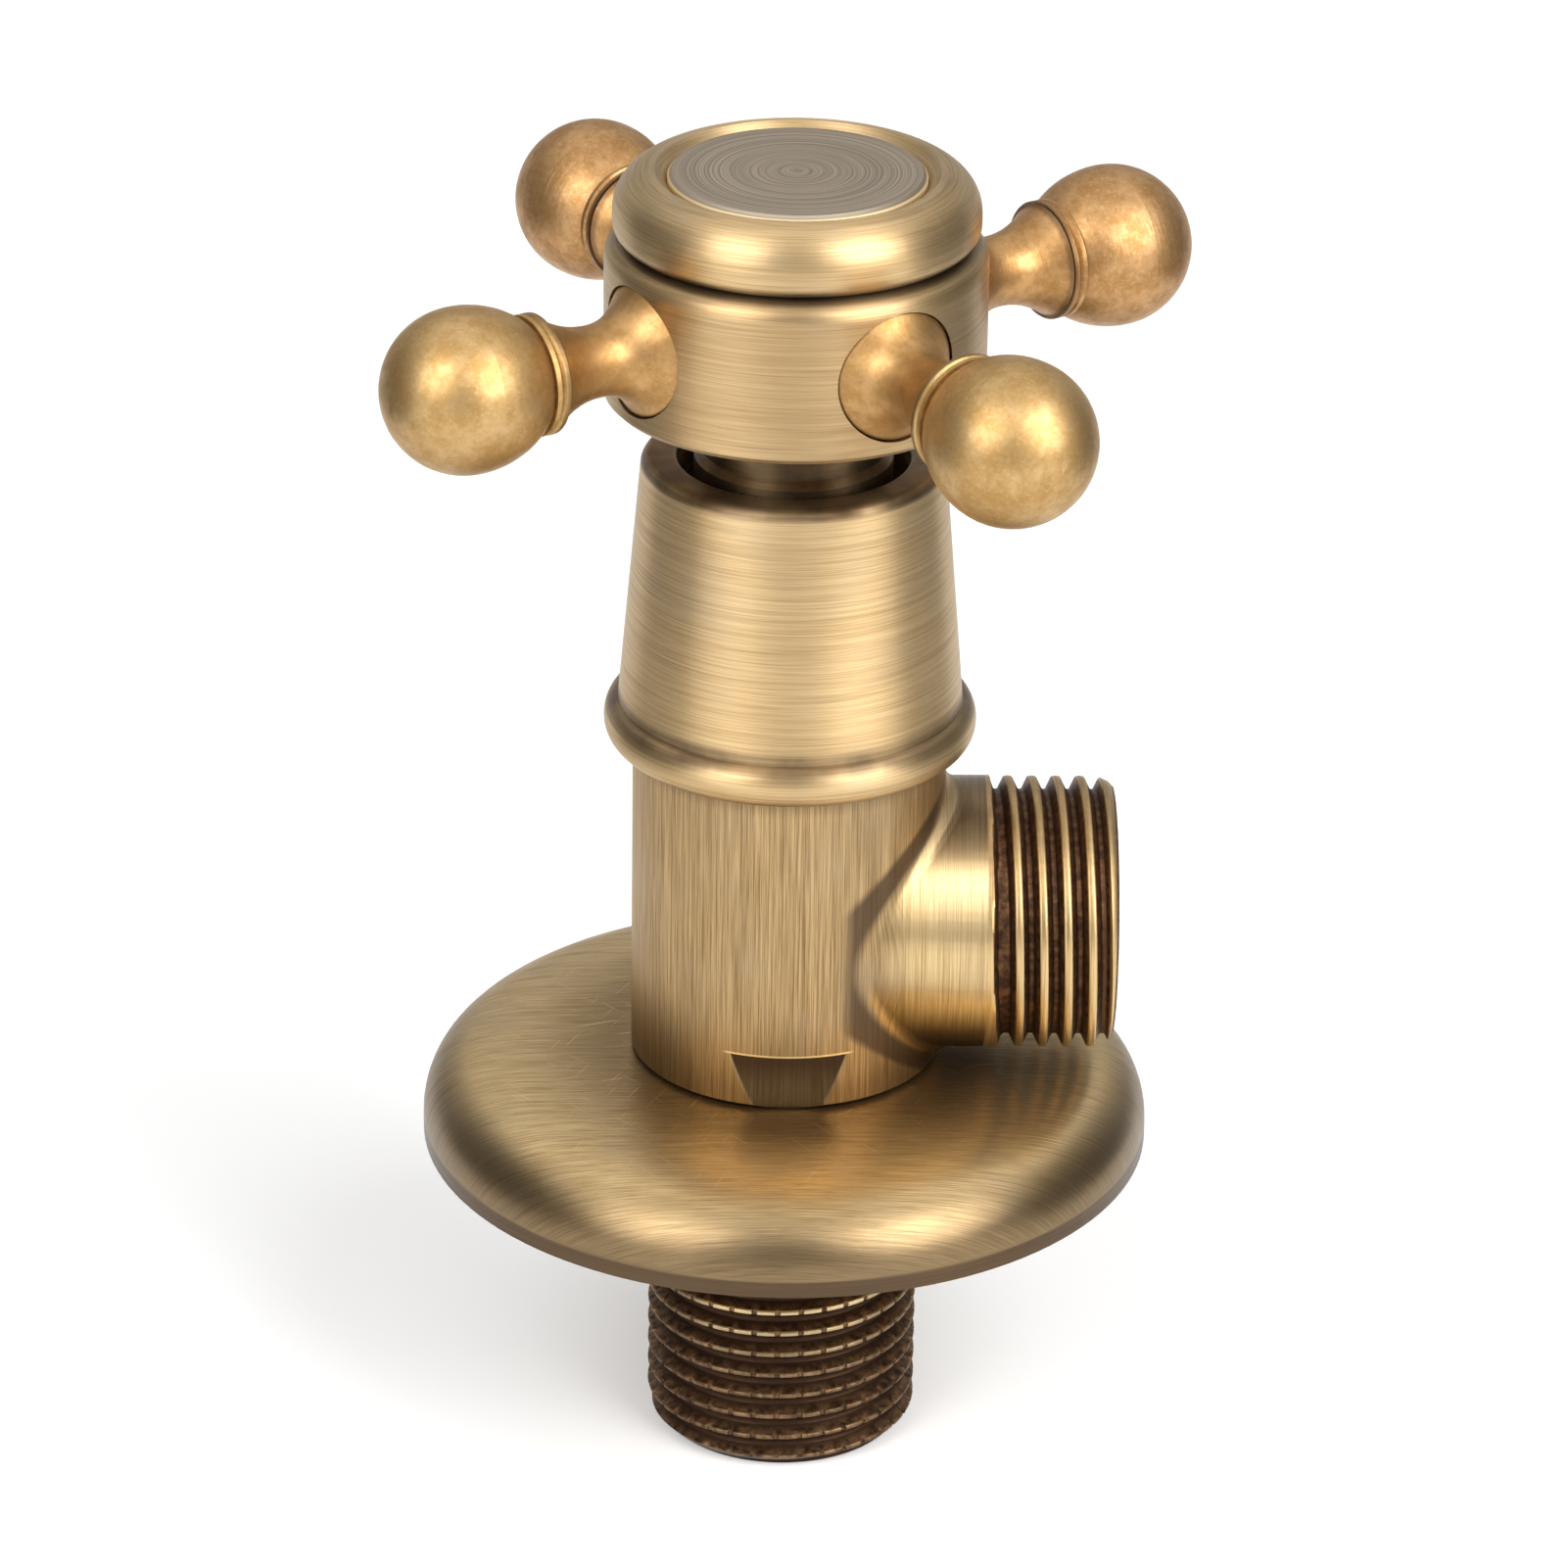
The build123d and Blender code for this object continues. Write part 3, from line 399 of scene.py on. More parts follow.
RUBBER = (rgb(38, 38, 38), rgb(22, 22, 22))
FIBRE = (rgb(176, 98, 84), rgb(140, 70, 58))
CERAMIC = (rgb(245, 243, 238), rgb(236, 232, 224))
GREY_BRASS = rgb(168, 152, 128)
# Patina, and painted shade in creases, gaps and hollows, are both laid in this colour
PATINA_AND_SHADE = rgb(80, 64, 50)
# A painted reflection of the barrel in the escutcheon's flat
PAINTED_REFLECTION_OLIVE = rgb(92, 66, 32)
# Painted shade in the spanner pads, and a painted highlight along their upper edges
PAD_SHADE = rgb(60, 43, 26)
PAD_EDGE_HIGHLIGHT = rgb(236, 208, 150)
DISC_EDGE_HIGHLIGHT = rgb(214, 194, 152)
SCRATCH = rgb(222, 192, 136)
THREAD_DARK = rgb(58, 42, 32)

# A thread's colours on its flanks and in its roots, and the light and deep ones of its rubbed crests
INLET_TONES = (rgb(132, 102, 74), rgb(66, 47, 34), rgb(252, 232, 184), rgb(216, 188, 140))
OUTLET_TONES = (rgb(130, 95, 63), rgb(104, 74, 50), rgb(216, 188, 138), rgb(170, 140, 94))

# How far down the threads' crests are rubbed bright, how unevenly, and how softly the rubbed part ends
INLET_RUBBED_DEPTH = 0.12 * MM
OUTLET_RUBBED_DEPTH = 0.1 * MM
RUBBED_UNEVENNESS = 0.12 * MM
RUBBED_SOFTNESS = 0.06 * MM

# The ring of painted shade round the neck: its distances from the outlet's axis, and where it starts and ends
# along it
SADDLE_INNER = 10.9 * MM
SADDLE_OUTER = 11.8 * MM
SADDLE_START = 5.0 * MM
SADDLE_END = 10.5 * MM

# Height of the escutcheon's upright rim
RIM_HEIGHT = 26.0 * MM

# Brush marks: their width, their length on most pieces, on the barrel and on the dome, and the weight of
# the fine ones beside the broad groups
MARK_WIDTH = 0.055 * MM
MARK_LENGTH = 7.0 * MM
BARREL_MARK_LENGTH = 6.0 * MM
DOME_MARK_LENGTH = 3.5 * MM
FINE_SHARE = 0.7

# Middling radii, which set the length of the marks on the bell, the spokes, the disc and the pieces inside
BELL_RADIUS = 12.3 * MM
SPOKE_RADIUS = 5.0 * MM
DISC_RING_RADIUS = 1.2 * MM
INSIDE_RADIUS = 6.0 * MM

# Scratches on the escutcheon
SCRATCH_ANGLES = (18, 62, 131)
SCRATCH_LENGTH = 5.0 * MM
SCRATCH_WIDTH = 0.09 * MM

# The grooves' direction is the tangent. This turn of it stretches the reflections across them.
GROOVE_ROTATION = 0.25

# Between these values of its marks a metal goes from rough to smooth
FIELD_LOW = 0.3
FIELD_HIGH = 0.7


def tube_marks(shader, across, along, height, round_scale, height_scale):
    """Texture coordinates on a tube, without a seam, from the two offsets off its axis and the height."""
    reach = shader.most(shader.length(across, along), 0.01 * MM)
    return shader.vector(
        shader.times(shader.over(across, reach), round_scale),
        shader.times(shader.over(along, reach), round_scale),
        shader.times(height, height_scale),
    )


def ring_marks(shader, across, along, height, radius, width=MARK_WIDTH, length=MARK_LENGTH):
    """Texture coordinates for marks that run round an axis."""
    return tube_marks(shader, across, along, height, radius / length, 1 / width)


def long_marks(shader, across, along, height, radius, length):
    """Texture coordinates for marks that run along an axis."""
    return tube_marks(shader, across, along, height, radius / MARK_WIDTH, 1 / length)


def brush_field(shader, marks):
    """Fine marks and broader groups of them, from 0 to 1."""
    fine = shader.noise(marks, roughness=0.6)
    broad = shader.noise(marks, scale=0.3, detail=2.0)
    return shader.plus(shader.times(fine, FINE_SHARE), shader.times(broad, 1 - FINE_SHARE))


def ring_direction(shader, across, along, axis):
    """The direction round an axis, given the two offsets from it, turned with the piece."""
    back = shader.times(along, -1.0)
    parts = {"Z": (back, across, 0.0), "X": (0.0, back, across)}[axis]
    turn = shader.add("VectorTransform", vector_type="VECTOR", convert_from="OBJECT", convert_to="WORLD")
    shader.feed(turn.inputs[0], shader.vector(*parts))
    return turn.outputs[0]


def satin(shader, field, rough, smooth):
    """Roughness that follows the marks: rough between them and smooth on them."""
    return shader.ramp(field, FIELD_LOW, FIELD_HIGH, rough, smooth)


def metal(shader, colour, roughness, height, depth, grooves=None, anisotropy=0.0):
    """Bare metal. Where grooves gives their direction, they stretch its reflections across them."""
    surface = shader.add("BsdfPrincipled")
    surface.inputs["Metallic"].default_value = 1.0
    shader.feed(surface.inputs["Base Color"], colour)
    shader.feed(surface.inputs["Roughness"], roughness)
    shader.feed(surface.inputs["Normal"], shader.bump(height, depth))
    if grooves is not None:
        surface.inputs["Anisotropic"].default_value = anisotropy
        surface.inputs["Anisotropic Rotation"].default_value = GROOVE_ROTATION
        shader.feed(surface.inputs["Tangent"], grooves)
    shader.finish(surface)


def brushed_colour(shader, field, light, deep, patina_and_shade, patina_and_shade_colour=PATINA_AND_SHADE):
    """Brass whose marks hold a little dark, under a mask of patina and painted shade from 0 to 1."""
    cloud = shader.noise(shader.where(), scale=130.0, roughness=0.55)
    tone = shader.mix(shader.ramp(field, 0.3, 0.66), deep, light)
    smoky = shader.mix(shader.ramp(cloud, 0.45, 0.8, 0.0, 0.35), tone, GREY_BRASS)
    return shader.mix(patina_and_shade, smoky, patina_and_shade_colour)


def turned_brass(name, radius, tones, patina_and_shade_bands):
    """Brass brushed round the valve's axis, with patina and painted shade at some heights.

    Each band is lowest height, highest height, softness and strength, in millimetres but for the last."""
    material, shader = new_material(name)
    x, y, z = shader.place()
    field = brush_field(shader, ring_marks(shader, x, y, z, radius))
    bands = [
        shader.times(shader.band(z, low * MM, high * MM, soft * MM), strength)
        for low, high, soft, strength in patina_and_shade_bands
    ]
    uneven = shader.ramp(shader.noise(shader.where(), scale=260.0), 0.3, 0.7, 0.6, 1.0)
    patina_and_shade = shader.times(shader.most(*bands), uneven)
    colour = brushed_colour(shader, field, *tones, patina_and_shade)
    roughness = satin(shader, field, 0.46, 0.4)
    grooves = ring_direction(shader, x, y, "Z")
    metal(shader, colour, roughness, height=field, depth=0.005 * MM, grooves=grooves, anisotropy=0.7)
    return material


def body_painted_shade(shader, x, z, rise, off_axis, on_neck):
    """Painted shade: darker towards the barrel's foot, a painted shadow line at its seam with the escutcheon,
    darker under the bell's bead at the crown, painted shade and reflection round the neck's saddle, and
    painted shade above and below the neck's highlight.
    """
    foot = shader.ramp(z, BARREL_FOOT + 0.5 * MM, BARREL_FOOT + 8 * MM, 0.35, 0.0)
    seam_shadow = shader.ramp(z, BARREL_FOOT + 0.4 * MM, BARREL_FOOT + 0.1 * MM, 0.0, 0.9)
    crown = shader.ramp(z, BARREL_TOP - 3.8 * MM, BARREL_TOP - 2.2 * MM, 0.0, 0.5)
    saddle = shader.times(
        shader.band(off_axis, SADDLE_INNER, SADDLE_OUTER, 0.6 * MM),
        shader.band(x, SADDLE_START, SADDLE_END, 1.5 * MM),
        0.88,
    )
    neck_top = shader.times(on_neck, shader.ramp(rise, 6.0 * MM, 9.2 * MM, 0.0, 0.72))
    neck_low = shader.times(on_neck, shader.ramp(rise, -3.0 * MM, -7.5 * MM, 0.0, 0.72))
    return shader.most(foot, seam_shadow, crown, saddle, neck_top, neck_low)


def pad_shade_and_edge_highlight(shader, x, y, z, colour):
    """Lays painted shade in the spanner pads, darkest under their upper edges, and a painted highlight along
    those edges.
    """
    from_middle = shader.math("ABSOLUTE", y)
    inside_barrel = shader.minus(shader.length(x, y), BARREL_RADIUS)
    on_pad = shader.times(
        shader.ramp(inside_barrel, -0.03 * MM, -0.1 * MM),
        shader.ramp(from_middle, 10.5 * MM, 10.6 * MM),
        shader.ramp(z, PAD_TOP + 0.15 * MM, PAD_TOP - 0.1 * MM),
    )
    strength = shader.ramp(z, INLET_THREAD_LENGTH + 1.5 * MM, PAD_TOP - 0.5 * MM, 0.5, 0.97)
    edge = shader.times(
        shader.band(z, PAD_TOP + 0.03 * MM, PAD_TOP + 0.12 * MM, 0.06 * MM),
        shader.ramp(from_middle, 10.6 * MM, 10.9 * MM, 0.0, 0.8),
    )
    return shader.mix(edge, shader.mix(shader.times(on_pad, strength), colour, PAD_SHADE), PAD_EDGE_HIGHLIGHT)


def body_brass():
    """The barrel brushed upright, the neck brushed round the outlet, and a blend at the saddle."""
    material, shader = new_material("body_brass")
    x, y, z = shader.place()
    rise = shader.minus(z, OUTLET_HEIGHT)
    off_axis = shader.length(y, rise)
    on_neck = shader.times(
        shader.ramp(off_axis, NECK_RADIUS + 1.2 * MM, NECK_RADIUS),
        shader.ramp(x, 6.5 * MM, 9.5 * MM),
    )
    barrel = brush_field(shader, long_marks(shader, x, y, z, BARREL_RADIUS, BARREL_MARK_LENGTH))
    neck = shader.noise(ring_marks(shader, y, rise, x, NECK_RADIUS), roughness=0.6)
    field = shader.blend(on_neck, barrel, neck)
    light, deep = [shader.mix(on_neck, *pair) for pair in zip(BODY_BRASS, NECK_BRASS_LIT)]
    patina_and_shade = body_painted_shade(shader, x, z, rise, off_axis, on_neck)
    colour = pad_shade_and_edge_highlight(shader, x, y, z, brushed_colour(shader, field, light, deep, patina_and_shade))
    roughness = satin(shader, field, 0.48, 0.38)
    upright = shader.vector(0.0, 0.0, 1.0)
    grooves = shader.mix_vectors(on_neck, upright, ring_direction(shader, y, rise, "X"))
    metal(shader, colour, roughness, height=field, depth=0.012 * MM, grooves=grooves, anisotropy=0.6)
    return material


def hairlines(shader, x, y, strength):
    """Sparse thin scratches in three directions, as a mask."""
    lines = []
    for degrees in SCRATCH_ANGLES:
        along, across = shader.turned(x, y, degrees)
        marks = shader.vector(
            shader.times(along, 1 / SCRATCH_LENGTH),
            shader.times(across, 1 / SCRATCH_WIDTH),
            math.radians(degrees),
        )
        lines.append(shader.ramp(shader.noise(marks, detail=1.0), 0.7, 0.78))
    return shader.times(shader.most(*lines), strength)


def escutcheon_brass():
    """The dome brushed across from side to side, and its rim brushed round."""
    material, shader = new_material("escutcheon_brass")
    x, y, z = shader.place()
    reach = shader.length(x, y)
    sway = shader.noise(shader.where(), scale=60.0, detail=1.0)
    drop = shader.over(shader.minus(BARREL_FOOT, z), reach)
    over_dome = shader.times(y, shader.plus(drop, 1.0))
    across = shader.plus(over_dome, shader.times(sway, 1.2 * MM))
    marks = shader.vector(
        shader.times(x, 1 / DOME_MARK_LENGTH), shader.times(across, 1 / MARK_WIDTH), 0.0
    )
    on_rim = shader.ramp(z, RIM_HEIGHT + 0.8 * MM, RIM_HEIGHT)
    rim = brush_field(shader, ring_marks(shader, x, y, z, ESCUTCHEON_RADIUS))
    field = shader.blend(on_rim, brush_field(shader, marks), rim)
    # Painted shade, darker towards the shoulder and on the rim, and a painted reflection of the barrel,
    # olive, on the flat round the collar
    shoulder_shade = shader.ramp(reach, 23.5 * MM, 27.2 * MM, 0.0, 0.7)
    painted_barrel_reflection = shader.ramp(reach, 22 * MM, 13 * MM, 0.08, 0.68)
    patina_and_shade = shader.most(shoulder_shade, painted_barrel_reflection, shader.times(on_rim, 0.95))
    patina_and_shade_colour = shader.mix(shader.ramp(reach, 19 * MM, 24 * MM), PAINTED_REFLECTION_OLIVE, PATINA_AND_SHADE)
    colour = brushed_colour(shader, field, *DOME_BRASS, patina_and_shade, patina_and_shade_colour)
    on_top = shader.ramp(reach, 24.5 * MM, 22.0 * MM, 0.0, 0.7)
    colour = shader.mix(hairlines(shader, x, y, on_top), colour, SCRATCH)
    roughness = satin(shader, field, 0.4, 0.3)
    sideways = shader.vector(1.0, 0.0, 0.0)
    grooves = shader.mix_vectors(on_rim, sideways, ring_direction(shader, x, y, "Z"))
    metal(shader, colour, roughness, height=field, depth=0.012 * MM, grooves=grooves, anisotropy=0.5)
    return material


def disc_brass():
    """The index disc: grey brass with fine turned rings about its centre, and a painted highlight on its
    edge.
    """
    material, shader = new_material("disc_brass")
    x, y, z = shader.place()
    reach = shader.length(x, y)
    broken = ring_marks(shader, x, y, reach, DISC_RING_RADIUS, width=0.14 * MM, length=4 * MM)
    steady = shader.vector(0.0, 0.0, shader.times(reach, 1 / (0.2 * MM)))
    rings = shader.plus(shader.noise(broken, roughness=0.6), shader.noise(steady))
    field = shader.times(rings, 0.5)
    light, deep = DISC_BRASS
    colour = shader.mix(shader.ramp(field, 0.38, 0.62), deep, light)
    # A painted highlight round the disc's edge
    on_edge = shader.ramp(reach, INDEX_DISC_RADIUS - 0.18 * MM, INDEX_DISC_RADIUS - 0.1 * MM)
    colour = shader.mix(on_edge, colour, DISC_EDGE_HIGHLIGHT)
    metal(shader, colour, satin(shader, field, 0.6, 0.52), height=field, depth=0.006 * MM)
    return material


def spoke_brass(name, angle, tones, ring_strength):
    """Satin orange brass, with cast grain and turning rings about the spoke's axis."""
    material, shader = new_material(name)
    x, y, z = shader.place()
    out, across = shader.turned(x, y, angle)
    rise = shader.minus(z, SPOKE_HEIGHT)
    round_spoke = ring_marks(shader, across, rise, out, SPOKE_RADIUS, width=0.22 * MM, length=3 * MM)
    rings = shader.noise(round_spoke, roughness=0.6)
    grain = shader.noise(shader.where(), scale=3600.0, roughness=0.6)
    blotch = shader.noise(shader.where(), scale=500.0, detail=6.0, roughness=0.75)
    height = shader.plus(shader.times(rings, ring_strength), shader.times(grain, 0.35))
    patches = shader.ramp(blotch, 0.35, 0.68)
    ball_light, ball_deep = tones
    ball = shader.mix(patches, ball_deep, ball_light)
    ball = shader.mix(shader.ramp(grain, 0.5, 0.75, 0.0, 0.35), ball, BRASS[0])
    stem_light, stem_deep = STEM_BRASS
    stem = shader.mix(patches, stem_deep, stem_light)
    on_stem = shader.ramp(out, SPOKE_RING_REACH + 0.45 * MM, SPOKE_RING_REACH - 1.25 * MM, 0.0, 0.7)
    colour = shader.mix(on_stem, ball, stem)
    # Painted shade where the spoke meets the hub, and in the groove at its ring, in the colour of patina and
    # shade
    seat = shader.ramp(out, SPOKE_RIM_REACH + 0.8 * MM, SPOKE_RIM_REACH + 0.1 * MM, 0.0, 0.4)
    by_ring = shader.band(out, SPOKE_RING_REACH - 0.15 * MM, SPOKE_RING_REACH + 0.1 * MM, 0.35 * MM)
    groove = shader.times(by_ring, 0.6)
    colour = shader.mix(shader.most(seat, groove), colour, PATINA_AND_SHADE)
    metal(shader, colour, satin(shader, blotch, 0.5, 0.4), height, depth=0.02 * MM)
    return material


def worn_thread(shader, marks, reach, crest, rubbed, wear_and_painted_shade, tones):
    """Dark bronze in the thread's roots, brown flanks, and crests rubbed bright down to a depth, dimmed where
    the mask of wear and painted shade is low.
    """
    flank, root, rub, rub_deep = tones
    field = brush_field(shader, marks)
    grain = shader.noise(shader.where(), scale=1500.0, roughness=0.65)
    level = shader.plus(reach, shader.times(shader.minus(grain, 0.5), RUBBED_UNEVENNESS))
    rubbed_foot = crest - rubbed
    worn = shader.times(shader.ramp(level, rubbed_foot - RUBBED_SOFTNESS, rubbed_foot), wear_and_painted_shade)
    flanks = shader.ramp(level, crest - THREAD_DEPTH, crest - 0.35 * THREAD_DEPTH)
    dark = shader.mix(shader.ramp(grain, 0.35, 0.7), THREAD_DARK, root)
    sides = shader.mix(shader.ramp(grain, 0.3, 0.7), flank, THREAD_DARK)
    bright = shader.mix(shader.ramp(field, 0.35, 0.62), rub_deep, rub)
    colour = shader.mix(worn, shader.mix(flanks, dark, sides), bright)
    metal(shader, colour, shader.blend(worn, 0.5, 0.36), height=field, depth=0.01 * MM)


def inlet_bronze():
    """The inlet's thread, rubbed bright, brightest up by the escutcheon; painted shade dulls its crests
    towards the bottom and at its left and right.
    """
    material, shader = new_material("inlet_bronze")
    x, y, z = shader.place()
    marks = ring_marks(shader, x, y, z, INLET_CREST_RADIUS)
    # Painted shade: the crests dull towards the bottom and at the left and right
    by_height = shader.ramp(z, 7 * MM, 19 * MM, 0.05, 1.0)
    at_left = shader.ramp(x, -8 * MM, -5 * MM, 0.2, 1.0)
    at_right = shader.ramp(x, 8.5 * MM, 5 * MM, 0.4, 1.0)
    wear_and_painted_shade = shader.times(by_height, at_left, at_right)
    reach = shader.length(x, y)
    worn_thread(shader, marks, reach, INLET_CREST_RADIUS, INLET_RUBBED_DEPTH, wear_and_painted_shade, INLET_TONES)
    return material


def outlet_bronze():
    """The outlet's thread, rubbed bright, with painted shade that dulls its crests on top, and a painted
    highlight that reaches deeper down at the tip.
    """
    material, shader = new_material("outlet_bronze")
    x, y, z = shader.place()
    rise = shader.minus(z, OUTLET_HEIGHT)
    marks = ring_marks(shader, y, rise, x, OUTLET_CREST_RADIUS)
    # A painted highlight: the crests are bright deeper down at the tip, where its bevel catches the light
    tip_highlight = shader.ramp(x, OUTLET_REACH - 1.5 * MM, OUTLET_REACH - 0.5 * MM, 0.0, 0.45 * MM)
    reach = shader.plus(shader.length(y, rise), tip_highlight)
    wear_and_painted_shade = shader.ramp(rise, 2 * MM, 7 * MM, 0.95, 0.55)
    worn_thread(shader, marks, reach, OUTLET_CREST_RADIUS, OUTLET_RUBBED_DEPTH, wear_and_painted_shade, OUTLET_TONES)
    return material


def plain_metal(name, tones, smooth):
    """A machined metal for the pieces inside, with the roughness of its smoothest places."""
    light, deep = tones
    material, shader = new_material(name)
    x, y, z = shader.place()
    field = brush_field(shader, ring_marks(shader, x, y, z, INSIDE_RADIUS))
    colour = shader.mix(shader.ramp(field, 0.35, 0.65), deep, light)
    roughness = satin(shader, field, smooth + 0.06, smooth)
    metal(shader, colour, roughness, height=field, depth=0.006 * MM)
    return material


def plain_solid(name, tones, roughness, grain_scale):
    """Rubber, fibre or ceramic, with a faint grain."""
    light, deep = tones
    material, shader = new_material(name)
    grain = shader.noise(shader.where(), scale=grain_scale)
    surface = shader.add("BsdfPrincipled")
    surface.inputs["Roughness"].default_value = roughness
    shader.feed(surface.inputs["Base Color"], shader.mix(grain, deep, light))
    shader.feed(surface.inputs["Normal"], shader.bump(grain, 0.01 * MM))
    shader.finish(surface)
    return material


# Threads, made turn by turn so that they carry the marks that the die and the vice left

FULL_TURN = 2 * math.pi
CREST_ROUNDING = 0.05
SPARE_TURNS = 2
WELD = 0.002 * MM

# The inlet's crests are nicked every ten degrees
NOTCH_COUNT = 36
NOTCH_PHASE = math.radians(-2.7)
NOTCH_HALF_ANGLE = math.radians(0.95)
NOTCH_DEPTH = 0.2 * MM
INLET_CREST_HALF = 0.085
INLET_ROOT_HALF = 0.14

# The outlet's last groove is widened towards the neck, and fades out at the back.
# Its edge is given as pairs of an angle from the top, in degrees, and a distance back from the tip, in
# millimetres. It starts to fade at one angle past the top, and is gone after another.
OUTLET_CREST_HALF = 0.15
OUTLET_ROOT_HALF = 0.1
OUTLET_STEPS = 240
LAST_GROOVE = 4.5
SKIN_LENGTH = 9.75 * MM
RUN_OUT_SLOPE = 0.3 * MM
RUN_OUT_EDGE = [(-180, 8.3), (-90, 9.3), (-30, 9.35), (180, 9.4)]
FADE_START = 30
FADE_LENGTH = 120
TIP_BEVEL = 0.35 * MM
TIP_SLOPE = 0.45


def thread_profile(phase, crest_half, root_half):
    """The thread's height, 0 at the root and 1 at the crest, at a phase of 0 to 1 from crest to crest."""
    away = min(phase, 1 - phase)
    if away <= crest_half:
        return 1 - CREST_ROUNDING * (away / crest_half) ** 2
    fall = (away - crest_half) / (0.5 - crest_half - root_half)
    return max(0.0, (1 - CREST_ROUNDING) * (1 - fall))


def profile_phases(crest_half, root_half):
    """Where the rows of a thread's mesh lie between one crest and the next."""
    half = [0.0, 0.6 * crest_half, crest_half, 1.25 * crest_half]
    half += [0.5 * (crest_half + 0.5 - root_half), 0.5 - 1.2 * root_half, 0.5 - 0.8 * root_half]
    return half + [0.5] + [1 - phase for phase in reversed(half[1:])]


def helical_mesh(name, length, lead, steps, phases, radius_at):
    """A tube along +Z whose rows follow the thread's helix, closed up at both ends.

    steps lists the angles of one turn, and radius_at gives the radius at a height and an angle."""
    mesh = bmesh.new()
    rows = []
    for turn in range(-SPARE_TURNS, math.ceil(length / THREAD_PITCH) + SPARE_TURNS):
        for phase in phases:
            row = []
            for angle in steps:
                height = lead + (turn + phase + angle / FULL_TURN) * THREAD_PITCH
                height = min(max(height, 0.0), length)
                radius = radius_at(height, angle)
                row.append(mesh.verts.new((radius * math.cos(angle), radius * math.sin(angle), height)))
            rows.append(row)
    per_turn = len(phases)
    for lower in range(len(rows) - 1):
        # Past the last angle of a turn, the rows go on as those of the next turn
        starts_next = [row[0] for row in rows[lower + per_turn : lower + per_turn + 2]]
        for column in range(len(steps)):
            if column + 1 < len(steps):
                right_low, right_high = rows[lower][column + 1], rows[lower + 1][column + 1]
            elif len(starts_next) == 2:
                right_low, right_high = starts_next
            else:
                continue
            mesh.faces.new([rows[lower][column], right_low, right_high, rows[lower + 1][column]])
    bmesh.ops.remove_doubles(mesh, verts=mesh.verts, dist=WELD)
    bmesh.ops.dissolve_degenerate(mesh, edges=mesh.edges, dist=WELD)
    return smooth_data(name, mesh, sharp_degrees=50)


def inlet_radius(height, angle):
    phase = (height - INLET_HELIX_LEAD) / THREAD_PITCH - angle / FULL_TURN
    profile = thread_profile(phase % 1.0, INLET_CREST_HALF, INLET_ROOT_HALF)
    radius = INLET_CREST_RADIUS - THREAD_DEPTH + THREAD_DEPTH * profile
    spacing = FULL_TURN / NOTCH_COUNT
    offset = (angle - NOTCH_PHASE + spacing / 2) % spacing - spacing / 2
    if abs(offset) < NOTCH_HALF_ANGLE:
        radius = min(radius, INLET_CREST_RADIUS - NOTCH_DEPTH)
    return min(radius, INLET_TIP_RADIUS + height)


def inlet_steps():
    """Angles of one turn, crowded round the notches."""
    spacing = FULL_TURN / NOTCH_COUNT
    edges = [NOTCH_HALF_ANGLE * share for share in (-1.3, -0.95, 0.95, 1.3)]
    offsets = [-0.5 * spacing, -0.3 * spacing] + edges + [0.3 * spacing]
    angles = [NOTCH_PHASE + spacing * notch + offset for notch in range(NOTCH_COUNT) for offset in offsets]
    return sorted(angle % FULL_TURN for angle in angles)


def run_out_edge(degrees):
    """How far back from the tip the last groove reaches, at an angle from the top towards the back."""
    for (start, first), (end, last) in zip(RUN_OUT_EDGE, RUN_OUT_EDGE[1:]):
        if degrees <= end:
            return (first + (last - first) * (degrees - start) / (end - start)) * MM
    return RUN_OUT_EDGE[-1][1] * MM


def outlet_radius(height, angle):
    """Height here is the distance back from the outlet's tip, and the angle starts at the top."""
    core = OUTLET_CREST_RADIUS - THREAD_DEPTH
    signed = angle if angle < math.pi else angle - FULL_TURN
    degrees = math.degrees(signed)
    turns = (height - OUTLET_HELIX_LEAD) / THREAD_PITCH - signed / FULL_TURN
    radius = core + THREAD_DEPTH * thread_profile(turns % 1.0, OUTLET_CREST_HALF, OUTLET_ROOT_HALF)
    if turns > LAST_GROOVE:
        past_edge = (height - run_out_edge(degrees)) / RUN_OUT_SLOPE
        radius = core + (NECK_RADIUS - core) * min(max(past_edge + 1, 0.0), 1.0)
    if turns > LAST_GROOVE - 0.5:
        fade = min(max((degrees - FADE_START) / FADE_LENGTH, 0.0), 1.0)
        radius += (NECK_RADIUS - radius) * fade
    blunt = OUTLET_TIP_RADIUS + min(height, TIP_BEVEL) + TIP_SLOPE * max(0.0, height - TIP_BEVEL)
    return min(radius, blunt, NECK_RADIUS)


# The pieces that replace CAD nodes

# A face of the outlet's thread lies further than this from the outlet's axis
OUTLET_CORE_REACH = 8.9 * MM

# Where the drawing-out of a spoke's flare ends, how it fades, and how far the rim stays inside the hub
FLARE_WAIST_REACH = 17.0 * MM
FLARE_SINK = 0.2 * MM
FLARE_FADE = 1.5


